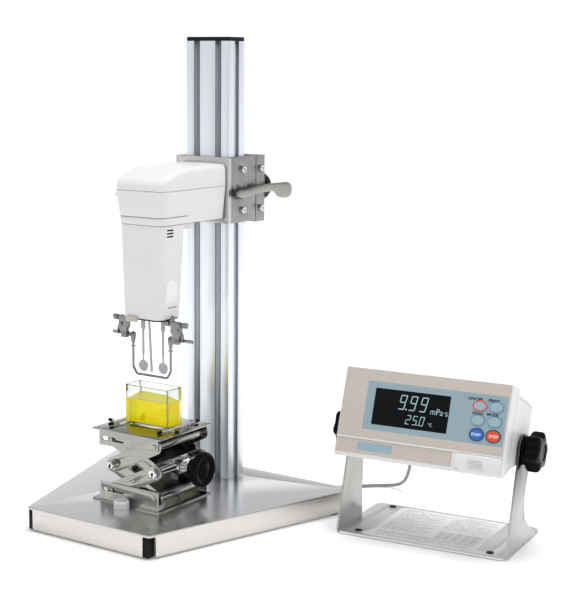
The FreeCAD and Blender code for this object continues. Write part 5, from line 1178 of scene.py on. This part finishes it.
# short lines under the four ribs and lines along the case seams on both sides: painted shadow under the ribs and
# painted shade in the seams
bm = bm_new()
for k, v in enumerate((-44.0, -46.6, -49.2, -51.8)):
    film(bm, 56.4 + 0.8 * k, 72.8 + 0.8 * k, v - 1.15, v - 0.72, -3.02, -2.9, 0.15, 1)
for a_, b_ in ((-93.92, -93.7), (93.7, 93.92)):
    add_prism(bm, DU, [(25.4, 28.0), (77.4, 24.5), (77.4, 24.15), (25.4, 27.65)], "x", a_, b_)
piece(bm, "case_seams", mat=["seam_shade", "rib_shade"], body=DISP, slot="white_plastic")


# tilt knobs: stud, steel hub, star grip
for sx, nd in ((-1, "tilt_knob_left"), (1, "tilt_knob_right")):
    body_ = BODY_OF[nd]

    def star(a, r, h):
        k = min(1.0, r / 19.4)
        return r + 2.5 * k ** 3 * math.cos(6 * (a - 0.4))
    bm = bm_new()
    add_lathe(bm, DU, [(0.02, sx * 101.4), (13.5, sx * 101.4), (16.4, sx * 101.8), (18.2, sx * 102.9), (19.2, sx * 104.6), (19.4, sx * 106.6), (19.4, sx * 113.0), (19.0, sx * 115.2),
                       (17.6, sx * 116.8), (15.2, sx * 117.8), (12.0, sx * 118.15), (9.0, sx * 118.2), (8.4, sx * 117.9), (8.0, sx * 117.3), (0.02, sx * 117.1)],
              (0, PW, PV), "x", 96, rfun=star)
    piece(bm, nd + "_grip", nd, mat="black_knob", replaces=(nd,), sharp=50)
    bm = bm_new()

    def serr(a, r, h):
        return r - (0.25 * (1 + math.cos(20 * a)) if r > 10.5 else 0)
    add_lathe(bm, DU, [(0.02, sx * 97.7), (9.5, sx * 97.7), (9.9, sx * 98.0), (9.9, sx * 98.9), (8.0, sx * 99.2), (7.6, sx * 99.5), (7.6, sx * 100.3), (10.6, sx * 100.6), (11.0, sx * 101.0),
                       (11.0, sx * 103.2), (10.6, sx * 103.7), (9.0, sx * 104.2), (0.02, sx * 104.2)], (0, PW, PV), "x", 80, rfun=serr)
    add_lathe(bm, DU, [(0.02, sx * 84.0), (3.6, sx * 84.0), (3.95, sx * 84.5), (3.95, sx * 98.4), (0.02, sx * 98.4)], (0, PW, PV), "x", 28)
    piece(bm, nd + "_hub", nd, mat="screw_steel", sharp=40)
    bm = bm_new()

    def teeth(a, r, h):
        return r - (0.45 * (1 + math.cos(24 * a)) if r > 14.5 else 0)
    add_lathe(bm, DU, [(4.2, sx * 97.65), (14.6, sx * 97.65), (15.4, sx * 98.0), (15.6, sx * 98.4), (15.6, sx * 99.6), (15.2, sx * 100.2), (13.6, sx * 100.5), (10.2, sx * 100.6), (9.7, sx * 100.1),
                       (4.2, sx * 99.9), (4.2, sx * 97.65)], (0, PW, PV), "x", 96, rfun=teeth)
    piece(bm, nd + "_washer", nd, mat="black_knob", slot="black_plastic", sharp=40)

# rear sockets
bm = bm_new()
add_lathe(bm, DU, [(0.02, 79.0), (6.6, 79.0), (7.4, 79.4), (7.4, 83.0), (6.6, 83.4), (6.2, 84.0), (6.2, 94.4), (5.6, 95.0), (4.9, 95.1), (4.6, 96.6), (3.9, 96.9), (4.2, 98.4), (4.1, 99.4),
                   (3.5, 99.8), (3.8, 101.2), (3.7, 102.2), (3.2, 102.6), (3.4, 104.0), (3.2, 105.2), (2.7, 107.0), (2.05, 107.3), (0.02, 107.3)], (-52, 0, 0), "y", 32)
piece(bm, "display_plug_boot", mat="black_plastic", body=DISP, slot="black_plastic")
bm = bm_new()
for k in range(13):
    for j in range(2):
        if j == 1 and k == 12:
            continue
        add_lathe(bm, DU, [(0.02, 79.4), (0.55, 79.4), (0.55, 80.0), (0.02, 80.0)], (13.6 + 2.2 * k + 1.1 * j, 0, -0.2 - 2.9 * j), "y", 10)
piece(bm, "connector_contacts", mat="brass", body=DISP, slot="screw_steel")

# ================================================================ bracket
# the bracket is one steel sheet: index 1, the uprights and sideways faces, is a darker copy of its steel (painted
# shade); index 3 darkens the right upright towards its top (painted shadow of the knob); index 2 is the rubber
# underside
def br_fn(c, n):
    if c.z < 0.95:
        return 2
    # right upright: the copy that darkens towards its top, painted shadow of the knob
    if c.x > 90 and c.z > 3.2:
        return 3
    return 1 if c.z > 3.2 or abs(n.x) > 0.7 else 0


cad("display_bracket", ["bracket_steel", "bracket_shaded_steel", "black_rubber", "upright_painted_shadow"], bevel=(0.25, 2), fn=br_fn, M=BR)
bm = bm_new()
for hx, hy in ((-75.8, 109.0), (-75.8, 13.0), (75.8, 13.0), (75.8, 109.0)):
    add_lathe(bm, BR, [(0.02, 0.12), (4.2, 0.12), (4.4, 0.3), (4.4, 0.74), (2.3, 0.76), (2.2, 0.5), (0.02, 0.45)], (hx, hy, 0), "z", 28)
for hx, hy in ((-75.8, 109.0), (-75.8, 13.0), (75.8, 13.0), (75.8, 109.0)):
    add_lathe(bm, BR, [(1.6, 2.7), (4.0, 2.76), (4.15, 2.9), (3.9, 3.2), (3.2, 3.35), (2.5, 3.25), (2.0, 3.0), (1.6, 2.7)], (hx, hy, 0), "z", 32)
piece(bm, "bracket_grommets", mat="gap_shade_and_black_rubber", body="root", slot="black_rubber")
# instruction card on the foot plate: pale sheet with rows of grey marks, not readable
bm = bm_new()
add_prism(bm, BR, [(-63, 4.5), (58, 4.5), (61, 7.5), (61, 112), (-61, 112), (-64, 109), (-64, 7)], "z", 2.78, 2.95)
piece(bm, "foot_card", mat="paper", body="root", slot="white_plastic")
rnd = random.Random(11)
bm = bm_new()


def mark(x0, x1, y0, y1):
    add_prism(bm, BR, [(x0, y0), (x1, y0), (x1, y1), (x0, y1)], "z", 2.94, 2.975)


for colx0, colx1, ya, yb in ((-58, -4, 30, 106), (2, 56, 60, 106)):
    y = yb
    while y > ya:
        x = colx0 + rnd.uniform(0, 3)
        end = colx1 - rnd.choice((0, 0, 3, 9, 22))
        while x < end:
            w_ = rnd.uniform(1.6, 6.0)
            if rnd.random() > 0.12:
                mark(x, min(x + w_, end), y, y + 0.7)
            x += w_ + rnd.uniform(0.7, 1.3)
        y -= rnd.choice((2.5, 2.5, 2.5, 4.2))
for k in range(8):
    mark(6, 54, 28 + 3.4 * k, 28.28 + 3.4 * k)
for k in range(6):
    mark(6 + 9.6 * k, 6.25 + 9.6 * k, 28, 51.8)
for k in range(7):
    for j in range(5):
        mark(7.2 + 9.6 * j, 7.2 + 9.6 * j + rnd.uniform(3, 7), 29.2 + 3.4 * k, 30.1 + 3.4 * k)
for y in (24, 21.6, 19.2, 14, 11.6):
    x = -57
    while x < 50:
        w_ = rnd.uniform(2, 8)
        mark(x, x + w_, y, y + 0.7)
        x += w_ + rnd.uniform(0.8, 2.2)
for x in (-54, -30, -6, 20, 42):
    mark(x, x + 6, 7.4, 8.0)
piece(bm, "foot_card_print", mat="paper_ink", body="root", slot="black_plastic")

cad("cable_clips", bevel=(0.5, 3))

# ================================================================ floor and light
bm = bm_new()
bmesh.ops.create_circle(bm, cap_ends=True, segments=96, radius=7.0)
me = bpy.data.meshes.new("studio_floor")
bm.to_mesh(me)
bm.free()
floor = bpy.data.objects.new("studio_floor", me)
bpy.context.scene.collection.objects.link(floor)
fm = new_mat("floor_m", (0.92, 0.92, 0.915), rough=0.8, spec=0.1, emit=(1, 1, 1), emit_s=0.55, tint_var=(3, (0.925, 0.925, 0.92)))
fn_, fl_ = nodes_of(fm)
ftc = fn_.new("ShaderNodeTexCoord")
fln = fn_.new("ShaderNodeVectorMath")
fln.operation = "LENGTH"
fmr = fn_.new("ShaderNodeMapRange")
fmr.inputs["From Min"].default_value = 0.35
fmr.inputs["From Max"].default_value = 1.6
fmr.inputs["To Min"].default_value = 0.16
fmr.inputs["To Max"].default_value = 0.5
fl_.new(ftc.outputs["Object"], fln.inputs[0])
fl_.new(fln.outputs["Value"], fmr.inputs["Value"])
fl_.new(fmr.outputs["Result"], fn_["Principled BSDF"].inputs["Emission Strength"])
me.materials.append(fm)

world = bpy.data.worlds.new("studio")
bpy.context.scene.world = world
world.use_nodes = True
wn, wl = world.node_tree.nodes, world.node_tree.links
bg = wn["Background"]
tc = wn.new("ShaderNodeTexCoord")
sx_ = wn.new("ShaderNodeSeparateXYZ")
mr = wn.new("ShaderNodeMapRange")
mr.inputs["From Min"].default_value = -1
mr.inputs["From Max"].default_value = 1
ramp = wn.new("ShaderNodeValToRGB")
els = ramp.color_ramp.elements
els[0].position, els[0].color = 0.0, (1.0, 1.0, 1.0, 1)
els[1].position, els[1].color = 1.0, (0.66, 0.67, 0.68, 1)
for pos, col in ((0.5, (1.0, 1.0, 1.0, 1)), (0.575, (1.0, 1.0, 1.0, 1)), (0.66, (0.48, 0.49, 0.50, 1)), (0.80, (0.36, 0.37, 0.385, 1)), (0.93, (0.62, 0.63, 0.64, 1))):
    e_ = els.new(pos)
    e_.color = col
wl.new(tc.outputs["Generated"], sx_.inputs["Vector"])
wl.new(sx_.outputs["Z"], mr.inputs["Value"])
wl.new(mr.outputs["Result"], ramp.inputs["Fac"])
wl.new(ramp.outputs["Color"], bg.inputs["Color"])
# the studio is dimmer on the camera's side of the table than behind the object
dotp = wn.new("ShaderNodeVectorMath")
dotp.operation = "DOT_PRODUCT"
dotp.inputs[1].default_value = (-0.6, 0.8, 0.0)
side = wn.new("ShaderNodeMapRange")
side.interpolation_type = "SMOOTHSTEP"
side.inputs["From Min"].default_value = -0.95
side.inputs["From Max"].default_value = -0.15
side.inputs["To Min"].default_value = 0.55
side.inputs["To Max"].default_value = 1.06
wl.new(tc.outputs["Generated"], dotp.inputs[0])
wl.new(dotp.outputs["Value"], side.inputs["Value"])
wl.new(side.outputs["Result"], bg.inputs["Strength"])


def area(name, loc, target, size, power, color=(1, 1, 1), size_y=None):
    ld = bpy.data.lights.new(name, "AREA")
    ld.energy = power
    ld.color = color
    ld.shape = "RECTANGLE"
    ld.size = size
    ld.size_y = size_y or size
    lo = bpy.data.objects.new(name, ld)
    bpy.context.scene.collection.objects.link(lo)
    lo.location = loc
    dv = Vector(target) - Vector(loc)
    lo.rotation_euler = dv.to_track_quat("-Z", "Y").to_euler()
    return lo


area("key_light", (-0.9, -1.5, 1.9), (0, 0, 0.2), 1.2, 4, (1.0, 0.99, 0.97))
area("fill_light", (2.0, -0.9, 1.4), (0, 0, 0.25), 1.0, 6.5, (0.97, 0.98, 1.0))
top_ = area("top_light", (0.1, 0.2, 2.3), (0, 0, 0.1), 1.6, 38, (1.0, 1.0, 1.0))
top_.visible_glossy = False
bpy.context.scene.view_settings.view_transform = "Standard"
bpy.context.scene.view_settings.look = "None"

bpy.context.view_layer.update()
